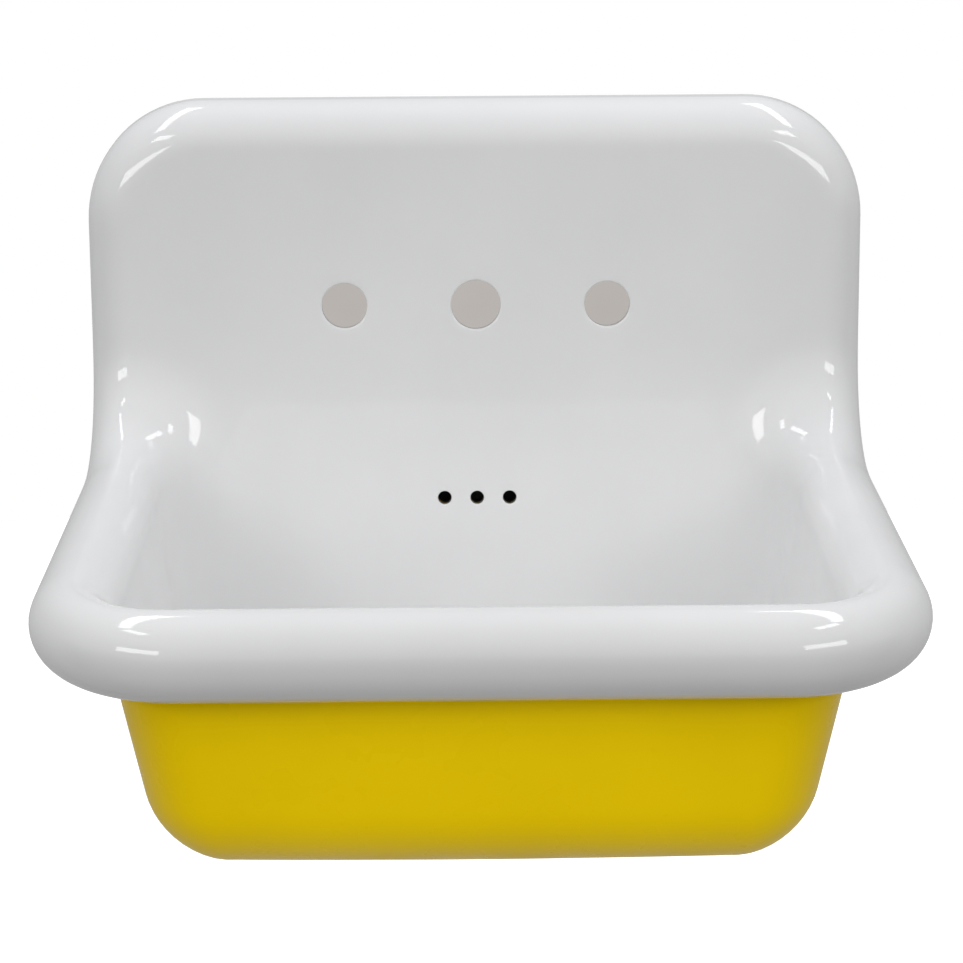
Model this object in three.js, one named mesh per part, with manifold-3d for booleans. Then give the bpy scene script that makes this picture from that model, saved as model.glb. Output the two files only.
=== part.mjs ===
// Wall-hung, high-back, roll-rim sink in enamelled cast iron, with its wall hanger, overflow duct,
// drain and lift-out stopper. Millimetres, +Z up, front towards -Y, wall plane at y = 0.
// The origin is the centre of the wall hanger's back face.
import * as THREE from 'three';
import { mergeVertices } from 'three/addons/utils/BufferGeometryUtils.js';
import Module from 'manifold-3d';

// ---------------------------------------------------------------- driving dimensions
const WIDTH = 601; // overall width
const ROLL_R = 31; // radius of the rolled rim
const RIM_Z = -210; // height of the rim roll's centreline
const TOP_Z = RIM_Z + 284; // crest of the backsplash
const FRONT_Y = -505; // frontmost line of the rim
const RIM_WIDTH = 56; // outside of the rolled rim to the basin wall
const PLATE_Y = -75; // show face of the backsplash at rim height
const LEAN = THREE.MathUtils.degToRad(6); // backsplash leans back towards the wall
const WALL = 8; // thickness of the casting
const TOP_CORNER_R = 91; // top corners in front view
const FRONT_CORNER_R = 105; // front corners in plan
const MOUTH_CORNER_R = 40; // front corners of the basin in plan
const SWEEP_REACH = 80; // how far the concave sweep at the backsplash runs along the faces it joins
const SWEEP_EASE = 2.6; // power of the sweep's curve: 2 is an arc, more is slower at both ends
const SWEEP_R = 64; // radius of the arc nearest to that curve
const FLOOR_Z = RIM_Z - 183; // show face of the basin floor at the drain
const FLOOR_FALL = 0.02; // slope of the floor towards the drain
const FLOOR_FILLET = 50; // between basin walls and floor
const DRAFT = Math.tan(THREE.MathUtils.degToRad(9.7)); // taper of the basin walls
const DRAFT_START = 20; // height over which the taper begins
const SKIRT_GAP = 1.5; // casting's back edge to the wall
const CURL_END = THREE.MathUtils.degToRad(85); // how far the rim curls under

const DRAIN_Y = -235;
const FAUCET_Z = RIM_Z + 131;
const FAUCET_SPACING = 101.6; // 8 inch centres over the pair
const FAUCET_SIDE_R = 17.5;
const FAUCET_MIDDLE_R = 19;
const OVERFLOW_Z = RIM_Z - 20;
const OVERFLOW_SPACING = 25.4;
const OVERFLOW_R = 5.25;

const GAP = 0.3; // clearance between pieces that touch
const ROUND_SEGMENTS = 32;

const ENAMEL = { color: 0xf1f1ee, roughness: 0.08, metalness: 0 };
const BRASS = { color: 0xd8d6d0, roughness: 0.18, metalness: 1 };
const RAW_BRASS = { color: 0xb08d4f, roughness: 0.35, metalness: 1 };
const RUBBER = { color: 0x1d1d1d, roughness: 0.8, metalness: 0 };
const ZINC = { color: 0x9fa3a6, roughness: 0.45, metalness: 1 };
const IRON = { color: 0x3c3c3e, roughness: 0.7, metalness: 0.4 };
const FIBRE = { color: 0x8a6f4d, roughness: 0.9, metalness: 0 };
const PUTTY = { color: 0xcfc9bb, roughness: 0.9, metalness: 0 };

// ---------------------------------------------------------------- solids and meshes
const wasm = await Module();
wasm.setup();

function solidFrom(geometry) {
  const bare = geometry.clone();
  bare.deleteAttribute('normal');
  bare.deleteAttribute('uv');
  const merged = mergeVertices(bare, 1e-4);
  const points = merged.attributes.position.array;
  const triangles = [];
  for (let i = 0; i < merged.index.count; i += 3) {
    const [a, b, c] = merged.index.array.slice(i, i + 3);
    if (a !== b && b !== c && c !== a) triangles.push(a, b, c);
  }
  if (signedVolume(points, triangles) < 0) triangles.reverse();
  return new wasm.Manifold(new wasm.Mesh({
    numProp: 3,
    vertProperties: new Float32Array(points),
    triVerts: new Uint32Array(triangles),
  }));
}

function signedVolume(points, triangles) {
  const corner = (i) => new THREE.Vector3().fromArray(points, 3 * triangles[i]);
  let six = 0;
  for (let i = 0; i < triangles.length; i += 3) {
    six += corner(i).dot(corner(i + 1).cross(corner(i + 2)));
  }
  return six / 6;
}

function geometryFrom(solid) {
  const mesh = solid.getMesh();
  const geometry = new THREE.BufferGeometry();
  geometry.setAttribute('position', new THREE.BufferAttribute(new Float32Array(mesh.vertProperties), 3));
  geometry.setIndex(new THREE.BufferAttribute(new Uint32Array(mesh.triVerts), 1));
  geometry.computeVertexNormals();
  return geometry;
}

const sink = new THREE.Group();

function addPiece(name, solid, finish) {
  const mesh = new THREE.Mesh(geometryFrom(solid), new THREE.MeshStandardMaterial(finish));
  mesh.name = name;
  sink.add(mesh);
}

function boxSolid(xRange, yRange, zRange) {
  const size = [xRange, yRange, zRange].map(([low, high]) => high - low);
  const middle = [xRange, yRange, zRange].map(([low, high]) => (high + low) / 2);
  return solidFrom(new THREE.BoxGeometry(...size).translate(...middle));
}

// A turned piece about a vertical axis: profile of [radius, height] points.
function turnedSolid(profile, y, segments = ROUND_SEGMENTS) {
  const points = [...profile, profile[0]].map(([radius, z]) => new THREE.Vector2(radius, z));
  const geometry = new THREE.LatheGeometry(points, segments);
  return solidFrom(geometry.rotateX(Math.PI / 2).translate(0, y, 0));
}

function ringProfile(inner, outer, low, high) {
  return [[inner, low], [outer, low], [outer, high], [inner, high]];
}

// A profile of [y, z] points extruded across x.
function crossSolid(profile, xLow, xHigh) {
  const shape = new THREE.Shape(profile.map(([y, z]) => new THREE.Vector2(y, z)));
  const geometry = new THREE.ExtrudeGeometry(shape, { depth: xHigh - xLow, bevelEnabled: false });
  const toYZ = new THREE.Matrix4().makeBasis(
    new THREE.Vector3(0, 1, 0), new THREE.Vector3(0, 0, 1), new THREE.Vector3(1, 0, 0));
  return solidFrom(geometry.applyMatrix4(toYZ).translate(xLow, 0, 0));
}

// Rounds one corner of a profile with an arc of the given radius.
function roundedCorner(before, corner, after, radius, steps = 6) {
  const tip = new THREE.Vector2(...corner);
  const back = new THREE.Vector2(...before).sub(tip).normalize();
  const ahead = new THREE.Vector2(...after).sub(tip).normalize();
  const half = back.angleTo(ahead) / 2;
  const centre = back.clone().add(ahead).normalize().multiplyScalar(radius / Math.sin(half)).add(tip);
  const first = back.multiplyScalar(radius / Math.tan(half)).add(tip).sub(centre);
  const last = ahead.multiplyScalar(radius / Math.tan(half)).add(tip).sub(centre);
  const turn = Math.atan2(first.cross(last), first.dot(last));
  const points = [];
  for (let i = 0; i <= steps; i += 1) {
    const point = first.clone().rotateAround(new THREE.Vector2(), (turn * i) / steps).add(centre);
    points.push([point.x, point.y]);
  }
  return points;
}

// ---------------------------------------------------------------- backsplash frame
const plateFront = (z) => PLATE_Y + Math.tan(LEAN) * (z - RIM_Z);
const PLATE_NORMAL = new THREE.Vector3(0, -Math.cos(LEAN), Math.sin(LEAN));
const OVERFLOW_POINT = new THREE.Vector3(0, plateFront(OVERFLOW_Z), OVERFLOW_Z);

// [y, z] of a point a height up the plate from the overflow holes and a depth behind its show face.
function behindPlate(height, depth) {
  return [
    OVERFLOW_POINT.y + height * Math.sin(LEAN) + depth * Math.cos(LEAN),
    OVERFLOW_POINT.z + height * Math.cos(LEAN) - depth * Math.sin(LEAN),
  ];
}

// A slab parallel to the plate.
function plateSlab(halfWidth, heights, depths, x = 0) {
  const profile = [
    behindPlate(heights[0], depths[0]), behindPlate(heights[0], depths[1]),
    behindPlate(heights[1], depths[1]), behindPlate(heights[1], depths[0]),
  ];
  return crossSolid(profile, x - halfWidth, x + halfWidth);
}

// A round bar square to the plate, centred on the show face at x, z.
function plateRod(radius, x, z, depths, segments = ROUND_SEGMENTS) {
  const length = depths[1] - depths[0];
  const geometry = new THREE.CylinderGeometry(radius, radius, length, segments);
  geometry.translate(0, -(depths[0] + depths[1]) / 2, 0);
  geometry.applyQuaternion(new THREE.Quaternion().setFromUnitVectors(new THREE.Vector3(0, 1, 0), PLATE_NORMAL));
  return solidFrom(geometry.translate(x, plateFront(z), z));
}

// ---------------------------------------------------------------- the casting's show surface
// Signed distances, negative inside the iron, combined with rounded edges.
function roundedMeet(a, b, radius, ease = 2) {
  const inside = Math.min(Math.max(a + radius, b + radius), 0);
  const across = Math.max(a + radius, 0) ** ease + Math.max(b + radius, 0) ** ease;
  return inside + across ** (1 / ease) - radius;
}

const roundedJoin = (a, b, radius, ease) => -roundedMeet(-a, -b, radius, ease);

function cornerDistance(across, along, radius) {
  const a = across + radius;
  const b = along + radius;
  return Math.hypot(Math.max(a, 0), Math.max(b, 0)) + Math.min(Math.max(a, b), 0) - radius;
}

// How far the basin walls have drawn in at a height, from the draft of the casting.
function drawIn(z) {
  const drop = RIM_Z - z;
  return (DRAFT * (drop + Math.hypot(drop, DRAFT_START))) / 2;
}

const MOUTH_X = WIDTH / 2 - RIM_WIDTH;
const MOUTH_FRONT_Y = FRONT_Y + RIM_WIDTH;
const CREST_Z = RIM_Z + ROLL_R;

function showDistance(x, y, z) {
  const side = Math.abs(x);
  const plate = (plateFront(z) - y) * Math.cos(LEAN);
  const above = z - CREST_Z;
  const inset = drawIn(z);
  const pocket = -cornerDistance(side - MOUTH_X + inset, MOUTH_FRONT_Y + inset - y, MOUTH_CORNER_R);
  const rim = roundedMeet(above, pocket, ROLL_R);
  const fall = FLOOR_FALL * Math.hypot(x, y - DRAIN_Y);
  const sweep = roundedJoin(plate, rim, SWEEP_REACH, SWEEP_EASE);
  const basin = roundedJoin(sweep, z - FLOOR_Z - fall, FLOOR_FILLET);
  const plan = cornerDistance(side - WIDTH / 2, FRONT_Y - y, FRONT_CORNER_R);
  const front = cornerDistance(side - WIDTH / 2, z - TOP_Z, TOP_CORNER_R);
  return roundedMeet(basin, Math.max(plan, front), ROLL_R);
}

function showSlope(point) {
  const step = 0.01;
  const slope = ['x', 'y', 'z'].map((axis) => {
    const high = point.clone();
    const low = point.clone();
    high[axis] += step;
    low[axis] -= step;
    return (showDistance(high.x, high.y, high.z) - showDistance(low.x, low.y, low.z)) / (2 * step);
  });
  return new THREE.Vector3(...slope);
}

function ontoShowSurface(rough) {
  const point = rough.clone();
  for (let i = 0; i < 20; i += 1) {
    const slope = showSlope(point);
    point.addScaledVector(slope, -showDistance(point.x, point.y, point.z) / slope.lengthSq());
  }
  return point;
}

// ---------------------------------------------------------------- stations round the rim
// Each station holds the roll's centre, its outward direction, its upward or forward face direction,
// the foot of the skirt behind it, the basin's bottom corner below it, and how far the rim curls
// under and rounds over there (0 on the backsplash, 1 on the rim).
const ROLL_X = WIDTH / 2 - ROLL_R;
const TOP_ARC = TOP_CORNER_R - ROLL_R;
const TOP_ROLL_Z = TOP_Z - ROLL_R;
const SWEEP_ARC = SWEEP_R + ROLL_R;
const FRONT_ARC = FRONT_CORNER_R - ROLL_R;
const SIDE_CORNER_Y = FRONT_Y + FRONT_CORNER_R;
const SKIRT_LOW_Z = RIM_Z - ROLL_R;
const rollY = (z) => plateFront(z) + ROLL_R / Math.cos(LEAN);
const SWEEP_CENTRE = new THREE.Vector3(
  ROLL_X, rollY(RIM_Z + SWEEP_ARC) - SWEEP_ARC / Math.cos(LEAN), RIM_Z + SWEEP_ARC);
const SWEEP_TOP_Z = SWEEP_CENTRE.z - SWEEP_ARC * Math.sin(LEAN);

const BOTTOM_X = MOUTH_X - drawIn(FLOOR_Z);
const BOTTOM_FRONT_Y = MOUTH_FRONT_Y + drawIn(FLOOR_Z);
const BOTTOM_BACK_Y = plateFront(FLOOR_Z);
const BACK_SPAN = BOTTOM_X - SWEEP_R;

const mix = THREE.MathUtils.lerp;
const vector = (x, y, z) => new THREE.Vector3(x, y, z);

function plateStation(x, z, out, share) {
  const centre = vector(x, rollY(z), z);
  const edge = centre.clone().addScaledVector(out, ROLL_R);
  return {
    centre,
    out,
    face: PLATE_NORMAL,
    foot: vector(edge.x, -SKIRT_GAP, edge.z),
    bottom: vector(share * BACK_SPAN, BOTTOM_BACK_Y, FLOOR_Z),
    curl: 0,
    round: 0,
  };
}

function rimStation(centre, out, bottomX, bottomY) {
  return {
    centre, out, face: vector(0, 0, 1), foot: centre, bottom: vector(bottomX, bottomY, FLOOR_Z), curl: 1, round: 1,
  };
}

const topStation = (s) => plateStation(s * (ROLL_X - TOP_ARC), TOP_ROLL_Z, vector(0, 0, 1), 0.5 * s);

function topCornerStation(s) {
  const out = vector(Math.sin((s * Math.PI) / 2), 0, Math.cos((s * Math.PI) / 2));
  const x = ROLL_X - TOP_ARC + TOP_ARC * out.x;
  return plateStation(x, TOP_ROLL_Z - TOP_ARC + TOP_ARC * out.z, out, mix(0.5, 0.8, s));
}

function plateSideStation(s) {
  return plateStation(ROLL_X, mix(TOP_ROLL_Z - TOP_ARC, SWEEP_TOP_Z, s), vector(1, 0, 0), mix(0.8, 1, s));
}

function sweepStation(s) {
  const angle = mix(LEAN, Math.PI / 2, s);
  const face = vector(0, -Math.cos(angle), Math.sin(angle));
  const down = Math.min(2 * s, 1);
  const forward = Math.max(2 * s - 1, 0);
  const turn = (s * Math.PI) / 2;
  return {
    centre: SWEEP_CENTRE.clone().addScaledVector(face, -SWEEP_ARC),
    out: vector(1, 0, 0),
    face,
    foot: vector(WIDTH / 2, mix(-SKIRT_GAP, SWEEP_CENTRE.y, forward), mix(SWEEP_TOP_Z, SKIRT_LOW_Z, down)),
    bottom: vector(
      BACK_SPAN + SWEEP_R * Math.sin(turn),
      BOTTOM_BACK_Y - SWEEP_R * (1 - Math.cos(turn)),
      FLOOR_Z,
    ),
    curl: THREE.MathUtils.smoothstep(forward, 0, 1),
    round: THREE.MathUtils.smoothstep(s, 0, 1),
  };
}

function rimSideStation(s) {
  const bottomY = mix(BOTTOM_BACK_Y - SWEEP_R, BOTTOM_FRONT_Y + MOUTH_CORNER_R, s);
  return rimStation(vector(ROLL_X, mix(SWEEP_CENTRE.y, SIDE_CORNER_Y, s), RIM_Z), vector(1, 0, 0), BOTTOM_X, bottomY);
}

function frontCornerStation(s) {
  const out = vector(Math.cos((s * Math.PI) / 2), -Math.sin((s * Math.PI) / 2), 0);
  const centre = vector(ROLL_X - FRONT_ARC + FRONT_ARC * out.x, SIDE_CORNER_Y + FRONT_ARC * out.y, RIM_Z);
  const bottomX = BOTTOM_X - MOUTH_CORNER_R * (1 - out.x);
  return rimStation(centre, out, bottomX, BOTTOM_FRONT_Y + MOUTH_CORNER_R * (1 + out.y));
}

function frontStation(s) {
  const centre = vector(mix(ROLL_X - FRONT_ARC, 0, s), FRONT_Y + ROLL_R, RIM_Z);
  return rimStation(centre, vector(0, -1, 0), mix(BOTTOM_X - MOUTH_CORNER_R, 0, s), BOTTOM_FRONT_Y);
}

function mirrored(station) {
  const flipped = { ...station };
  for (const key of ['centre', 'out', 'face', 'foot', 'bottom']) {
    flipped[key] = station[key].clone().setX(-station[key].x);
  }
  return flipped;
}

function rimStations() {
  const stretches = [
    [topStation, 4], [topCornerStation, 6], [plateSideStation, 2], [sweepStation, 10],
    [rimSideStation, 4], [frontCornerStation, 6], [frontStation, 4],
  ];
  const right = [];
  for (const [station, count] of stretches) {
    for (let i = 0; i < count; i += 1) right.push(station(i / count));
  }
  right.push(frontStation(1));
  const left = right.slice(1, -1).reverse().map(mirrored);
  return [...right, ...left];
}

// ---------------------------------------------------------------- the casting's shell
const SKIRT_STEPS = 4;
const ROLL_STEPS = 3;
const WALL_STEPS = 3;
const FILLET_STEPS = 3;
const DRAIN_RING = 16;

function rollPoint(station, angle) {
  return station.centre.clone()
    .addScaledVector(station.out, ROLL_R * Math.cos(angle))
    .addScaledVector(station.face, ROLL_R * Math.sin(angle));
}

// Show-side point and outward normal on the skirt: straight back to the wall, or curled under the rim.
function skirtPoint(station, share) {
  const straight = rollPoint(station, 0).lerp(station.foot, share);
  const angle = -share * CURL_END;
  const curled = rollPoint(station, angle);
  const curledNormal = curled.clone().sub(station.centre).normalize();
  return {
    point: straight.lerp(curled, station.curl),
    normal: station.out.clone().lerp(curledNormal, station.curl).normalize(),
  };
}

// One line of the shell, from the skirt's edge over the roll and down to the drain.
function shellLine(station) {
  const line = [];
  for (let i = SKIRT_STEPS; i > 0; i -= 1) line.push(skirtPoint(station, i / SKIRT_STEPS));
  const rough = [];
  for (let i = 0; i <= ROLL_STEPS; i += 1) rough.push(rollPoint(station, ((i / ROLL_STEPS) * Math.PI) / 2));
  let inner;
  for (let i = 1; i <= ROLL_STEPS; i += 1) {
    const angle = ((1 + i / ROLL_STEPS) * Math.PI) / 2;
    const flat = rollPoint(station, Math.PI / 2).addScaledVector(station.out, ROLL_R * Math.cos(angle));
    inner = flat.lerp(rollPoint(station, angle), station.round);
    rough.push(inner);
  }
  const drain = vector(0, DRAIN_Y, FLOOR_Z);
  const { bottom } = station;
  const wallFoot = bottom.clone().setZ(FLOOR_Z + FLOOR_FILLET);
  const floorEdge = bottom.clone().lerp(drain, FLOOR_FILLET / bottom.distanceTo(drain));
  for (let i = 1; i <= WALL_STEPS; i += 1) rough.push(inner.clone().lerp(wallFoot, i / WALL_STEPS));
  for (let i = 1; i <= FILLET_STEPS; i += 1) {
    const share = i / FILLET_STEPS;
    rough.push(wallFoot.clone().lerp(bottom, share).lerp(bottom.clone().lerp(floorEdge, share), share));
  }
  const ring = floorEdge.clone().sub(drain).setLength(DRAIN_RING).add(drain);
  rough.push(floorEdge.clone().lerp(ring, 0.5), ring);
  for (const point of rough.map(ontoShowSurface)) line.push({ point, normal: showSlope(point).normalize() });
  return line;
}

function shellSolid() {
  const lines = rimStations().map(shellLine);
  const columns = lines.length;
  const rows = lines[0].length;
  const points = [];
  for (const depth of [0, WALL]) {
    for (const line of lines) {
      for (const { point, normal } of line) points.push(...point.clone().addScaledVector(normal, -depth));
    }
    points.push(0, DRAIN_Y, FLOOR_Z - depth);
  }
  const sheet = columns * rows + 1;
  const triangles = [];
  const quad = (a, b, c, d) => triangles.push(a, b, c, a, c, d);
  for (let i = 0; i < columns; i += 1) {
    const here = i * rows;
    const next = ((i + 1) % columns) * rows;
    for (let j = 0; j < rows - 1; j += 1) {
      quad(here + j, here + j + 1, next + j + 1, next + j);
      quad(sheet + here + j, sheet + next + j, sheet + next + j + 1, sheet + here + j + 1);
    }
    triangles.push(here + rows - 1, sheet - 1, next + rows - 1);
    triangles.push(sheet + here + rows - 1, sheet + next + rows - 1, 2 * sheet - 1);
    quad(here, next, sheet + next, sheet + here);
  }
  const geometry = new THREE.BufferGeometry();
  geometry.setAttribute('position', new THREE.BufferAttribute(new Float32Array(points), 3));
  geometry.setIndex(triangles);
  return solidFrom(geometry);
}

// ---------------------------------------------------------------- wall hanger and lugs
const HANGER_HALF_WIDTH = 210;
const HANGER_HALF_HEIGHT = 28;
const HANGER_THICK = 6;
const HOOK_X = 130;
const HOOK_HALF_WIDTH = 35;
const HOOK_REACH = 30; // wall to the front of the hook's lip
const HOOK_LIP = 6;
const HOOK_LIP_TOP = 12;
const HOOK_FOOT = [-16, -8]; // underside and seat of the hook
const LUG_HALF_WIDTH = 30;
const LUG_DEPTHS = [-22, -8]; // front and back of the lug's tongue
const LUG_TOP = 26;
const LUG_WEB_BOTTOM = 14;
const SLOT_XS = [-170, -60, 60, 170];
const SLOT_HALF = [4.5, 11];

function hangerSolid() {
  const halfHeight = [-HANGER_HALF_HEIGHT, HANGER_HALF_HEIGHT];
  let solid = boxSolid([-HANGER_HALF_WIDTH, HANGER_HALF_WIDTH], [-HANGER_THICK, 0], halfHeight);
  for (const x of SLOT_XS) {
    const slot = boxSolid([x - SLOT_HALF[0], x + SLOT_HALF[0]], [-2 * HANGER_THICK, HANGER_THICK],
      [-SLOT_HALF[1], SLOT_HALF[1]]);
    solid = solid.subtract(slot);
  }
  const [under, seat] = HOOK_FOOT;
  const hook = [
    [-HANGER_THICK / 2, under], [-HANGER_THICK / 2, seat], [HOOK_LIP - HOOK_REACH, seat],
    [HOOK_LIP - HOOK_REACH, HOOK_LIP_TOP], [-HOOK_REACH, HOOK_LIP_TOP], [-HOOK_REACH, under],
  ];
  for (const x of [-HOOK_X, HOOK_X]) {
    solid = solid.add(crossSolid(hook, x - HOOK_HALF_WIDTH, x + HOOK_HALF_WIDTH));
  }
  return solid;
}

function lugSolid(x) {
  const inPlate = plateFront(LUG_TOP) + WALL / 2;
  const [front, back] = LUG_DEPTHS;
  const seat = HOOK_FOOT[1] + GAP;
  const profile = [
    [inPlate, LUG_WEB_BOTTOM], [front, LUG_WEB_BOTTOM], [front, seat], [back, seat], [back, LUG_TOP],
    [inPlate, LUG_TOP],
  ];
  return crossSolid(profile, x - LUG_HALF_WIDTH, x + LUG_HALF_WIDTH);
}

// ---------------------------------------------------------------- overflow duct and its seals
const PAD_HALF_WIDTH = 56;
const PAD_HALF_HEIGHT = 20;
const PAD_BACK = WALL + 6; // depth of the pad's machined face
const GASKET_BACK = PAD_BACK + 2.6;
const DUCT_FACE = GASKET_BACK + GAP;
const DUCT_FLANGE = 5;
const DUCT_DEPTH = 16;
const DUCT_WALL = 3;
const DUCT_HALF_WIDTH = 38;
const INLET_HALF = [33, 8];
const SCREW_X = 46;
const SCREW_R = 4;
const SCREW_TIP = 6;
const SCREW_HEAD = 5.5;
const SCREW_HEAD_R = 7.2;

const BOSS_R = 46;
const BOSS_Z = FLOOR_Z - 12; // machined underside of the drain boss
const COLLAR_GASKET_LOW = BOSS_Z - 2.5;
const DUCT_TOP = COLLAR_GASKET_LOW - GAP;
const DUCT_BOTTOM = DUCT_TOP - DUCT_DEPTH;
const COLLAR_BORE = 20.5;

function ductProfile(inset) {
  const front = DUCT_FACE + inset;
  const back = DUCT_FACE + DUCT_DEPTH - inset;
  const top = PAD_HALF_HEIGHT - inset;
  const onLine = (depth, z) => {
    const [y, height] = behindPlate(0, depth);
    return [y + (z - height) * Math.tan(LEAN), z];
  };
  const low = DUCT_BOTTOM + inset;
  const high = DUCT_TOP - inset;
  const outerCorner = roundedCorner(behindPlate(top, back), onLine(back, low), [DRAIN_Y, low], 30 - inset);
  const innerCorner = roundedCorner([DRAIN_Y, high], onLine(front, high), behindPlate(top, front), 12 + inset);
  return [behindPlate(top, front), behindPlate(top, back), ...outerCorner, [DRAIN_Y, low], [DRAIN_Y, high],
    ...innerCorner];
}

function ductBody(inset) {
  const halfWidth = DUCT_HALF_WIDTH - inset;
  const round = ringProfile(0, halfWidth, DUCT_BOTTOM + inset, DUCT_TOP - inset);
  return crossSolid(ductProfile(inset), -halfWidth, halfWidth).add(turnedSolid(round, DRAIN_Y));
}

function screwHoles(solid, depths) {
  let cut = solid;
  for (const x of [-SCREW_X, SCREW_X]) {
    cut = cut.subtract(plateRod(SCREW_R + GAP, x, OVERFLOW_Z, depths, 20));
  }
  return cut;
}

function ductSolid() {
  const heights = [-PAD_HALF_HEIGHT, PAD_HALF_HEIGHT];
  const flange = plateSlab(PAD_HALF_WIDTH, heights, [DUCT_FACE, DUCT_FACE + DUCT_FLANGE]);
  let solid = ductBody(0).add(flange).subtract(ductBody(DUCT_WALL));
  const inletDepths = [DUCT_FACE - DUCT_WALL, DUCT_FACE + DUCT_DEPTH / 2];
  solid = solid.subtract(plateSlab(INLET_HALF[0], [-INLET_HALF[1], INLET_HALF[1]], inletDepths));
  const bore = ringProfile(0, COLLAR_BORE, DUCT_BOTTOM - DUCT_WALL, DUCT_TOP + DUCT_WALL);
  solid = solid.subtract(turnedSolid(bore, DRAIN_Y));
  return screwHoles(solid, [DUCT_FACE - DUCT_WALL, DUCT_FACE + DUCT_DEPTH]);
}

function overflowGasketSolid() {
  const depths = [PAD_BACK + GAP, GASKET_BACK];
  const reach = [PAD_BACK - DUCT_WALL, GASKET_BACK + DUCT_WALL];
  const sheet = plateSlab(PAD_HALF_WIDTH, [-PAD_HALF_HEIGHT, PAD_HALF_HEIGHT], depths);
  return screwHoles(sheet.subtract(plateSlab(INLET_HALF[0], [-INLET_HALF[1], INLET_HALF[1]], reach)), reach);
}

function screwSolid(x) {
  const headFace = DUCT_FACE + DUCT_FLANGE + GAP;
  const head = plateRod(SCREW_HEAD_R, x, OVERFLOW_Z, [headFace, headFace + SCREW_HEAD], 6);
  return head.add(plateRod(SCREW_R, x, OVERFLOW_Z, [SCREW_TIP, headFace + SCREW_HEAD / 2], 20));
}

// ---------------------------------------------------------------- drain
const RECESS_R = 32.5;
const RECESS_Z = FLOOR_Z - 4;
const DRAIN_HOLE_R = 22;
const FLANGE_R = 29.5;
const FLANGE_TOP = FLOOR_Z + 0.4;
const FLANGE_UNDER = FLOOR_Z - 2.2;
const BODY_R = 20;
const BORE_R = 17;
const SEAT_R = 22; // top of the conical stopper seat
const SEAT_LOW = FLOOR_Z - 5.5;
const SHOULDER_R = DRAIN_HOLE_R - GAP;
const SHOULDER_Z = FLOOR_Z - 8;
const BODY_END = FLOOR_Z - 46;
const GUIDE_R = BORE_R - GAP;
const GUIDE_RING = 2.5;
const HUB_R = 7;
const HUB_BORE = 4.3;
const HUB_Z = [FLOOR_Z - 14, FLOOR_Z - 10.5];
const BAR_HALF = 2;
const SLOT_Z = [FLOOR_Z - 27, FLOOR_Z - 18.5];
const SLOT_WIDTH = 12;
const BODY_GASKET_Z = [DUCT_BOTTOM - 4, DUCT_BOTTOM - GAP];
const FRICTION_Z = [BODY_GASKET_Z[0] - 1.8, BODY_GASKET_Z[0] - GAP];
const NUT_Z = [FRICTION_Z[0] - 8, FRICTION_Z[0] - GAP];
const NUT_R = 30;

function castingSolid() {
  let solid = shellSolid();
  solid = solid.add(turnedSolid(ringProfile(0, BOSS_R, BOSS_Z, FLOOR_Z - WALL / 2), DRAIN_Y));
  solid = solid.add(plateSlab(PAD_HALF_WIDTH, [-PAD_HALF_HEIGHT, PAD_HALF_HEIGHT], [WALL / 2, PAD_BACK]));
  for (const x of [-HOOK_X, HOOK_X]) solid = solid.add(lugSolid(x));
  const through = [-WALL, 3 * WALL];
  for (const x of [-FAUCET_SPACING, FAUCET_SPACING]) {
    solid = solid.subtract(plateRod(FAUCET_SIDE_R, x, FAUCET_Z, through));
  }
  solid = solid.subtract(plateRod(FAUCET_MIDDLE_R, 0, FAUCET_Z, through));
  for (const x of [-OVERFLOW_SPACING, 0, OVERFLOW_SPACING]) {
    solid = solid.subtract(plateRod(OVERFLOW_R, x, OVERFLOW_Z, through, 20));
  }
  solid = screwHoles(solid, [SCREW_TIP - 1, PAD_BACK + WALL]);
  solid = solid.subtract(turnedSolid(ringProfile(0, DRAIN_HOLE_R, BOSS_Z - WALL, FLOOR_Z + WALL), DRAIN_Y));
  return solid.subtract(turnedSolid(ringProfile(0, RECESS_R, RECESS_Z, FLOOR_Z + WALL), DRAIN_Y));
}

function drainBodySolid() {
  const profile = [
    [BORE_R, BODY_END], [BODY_R, BODY_END], [BODY_R, SHOULDER_Z], [SHOULDER_R, SHOULDER_Z],
    [SHOULDER_R, FLANGE_UNDER], [FLANGE_R, FLANGE_UNDER], [FLANGE_R, FLANGE_TOP - 1], [FLANGE_R - 1, FLANGE_TOP],
    [SEAT_R, FLANGE_TOP], [BORE_R, SEAT_LOW],
  ];
  let solid = turnedSolid(profile, DRAIN_Y);
  const half = SLOT_WIDTH / 2;
  solid = solid.subtract(boxSolid([-FLANGE_R, FLANGE_R], [DRAIN_Y - half, DRAIN_Y + half], SLOT_Z));
  return solid.subtract(boxSolid([-half, half], [DRAIN_Y - FLANGE_R, DRAIN_Y + FLANGE_R], SLOT_Z));
}

// A ring with four arms and a hub that the stopper's stem slides in.
function stemGuideSolid() {
  const reach = GUIDE_R - GUIDE_RING / 2;
  let solid = turnedSolid(ringProfile(GUIDE_R - GUIDE_RING, GUIDE_R, ...HUB_Z), DRAIN_Y);
  solid = solid.add(boxSolid([-reach, reach], [DRAIN_Y - BAR_HALF, DRAIN_Y + BAR_HALF], HUB_Z));
  solid = solid.add(boxSolid([-BAR_HALF, BAR_HALF], [DRAIN_Y - reach, DRAIN_Y + reach], HUB_Z));
  solid = solid.add(turnedSolid(ringProfile(0, HUB_R, ...HUB_Z), DRAIN_Y, 20));
  return solid.subtract(turnedSolid(ringProfile(0, HUB_BORE, HUB_Z[0] - WALL, HUB_Z[1] + WALL), DRAIN_Y, 20));
}

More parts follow.
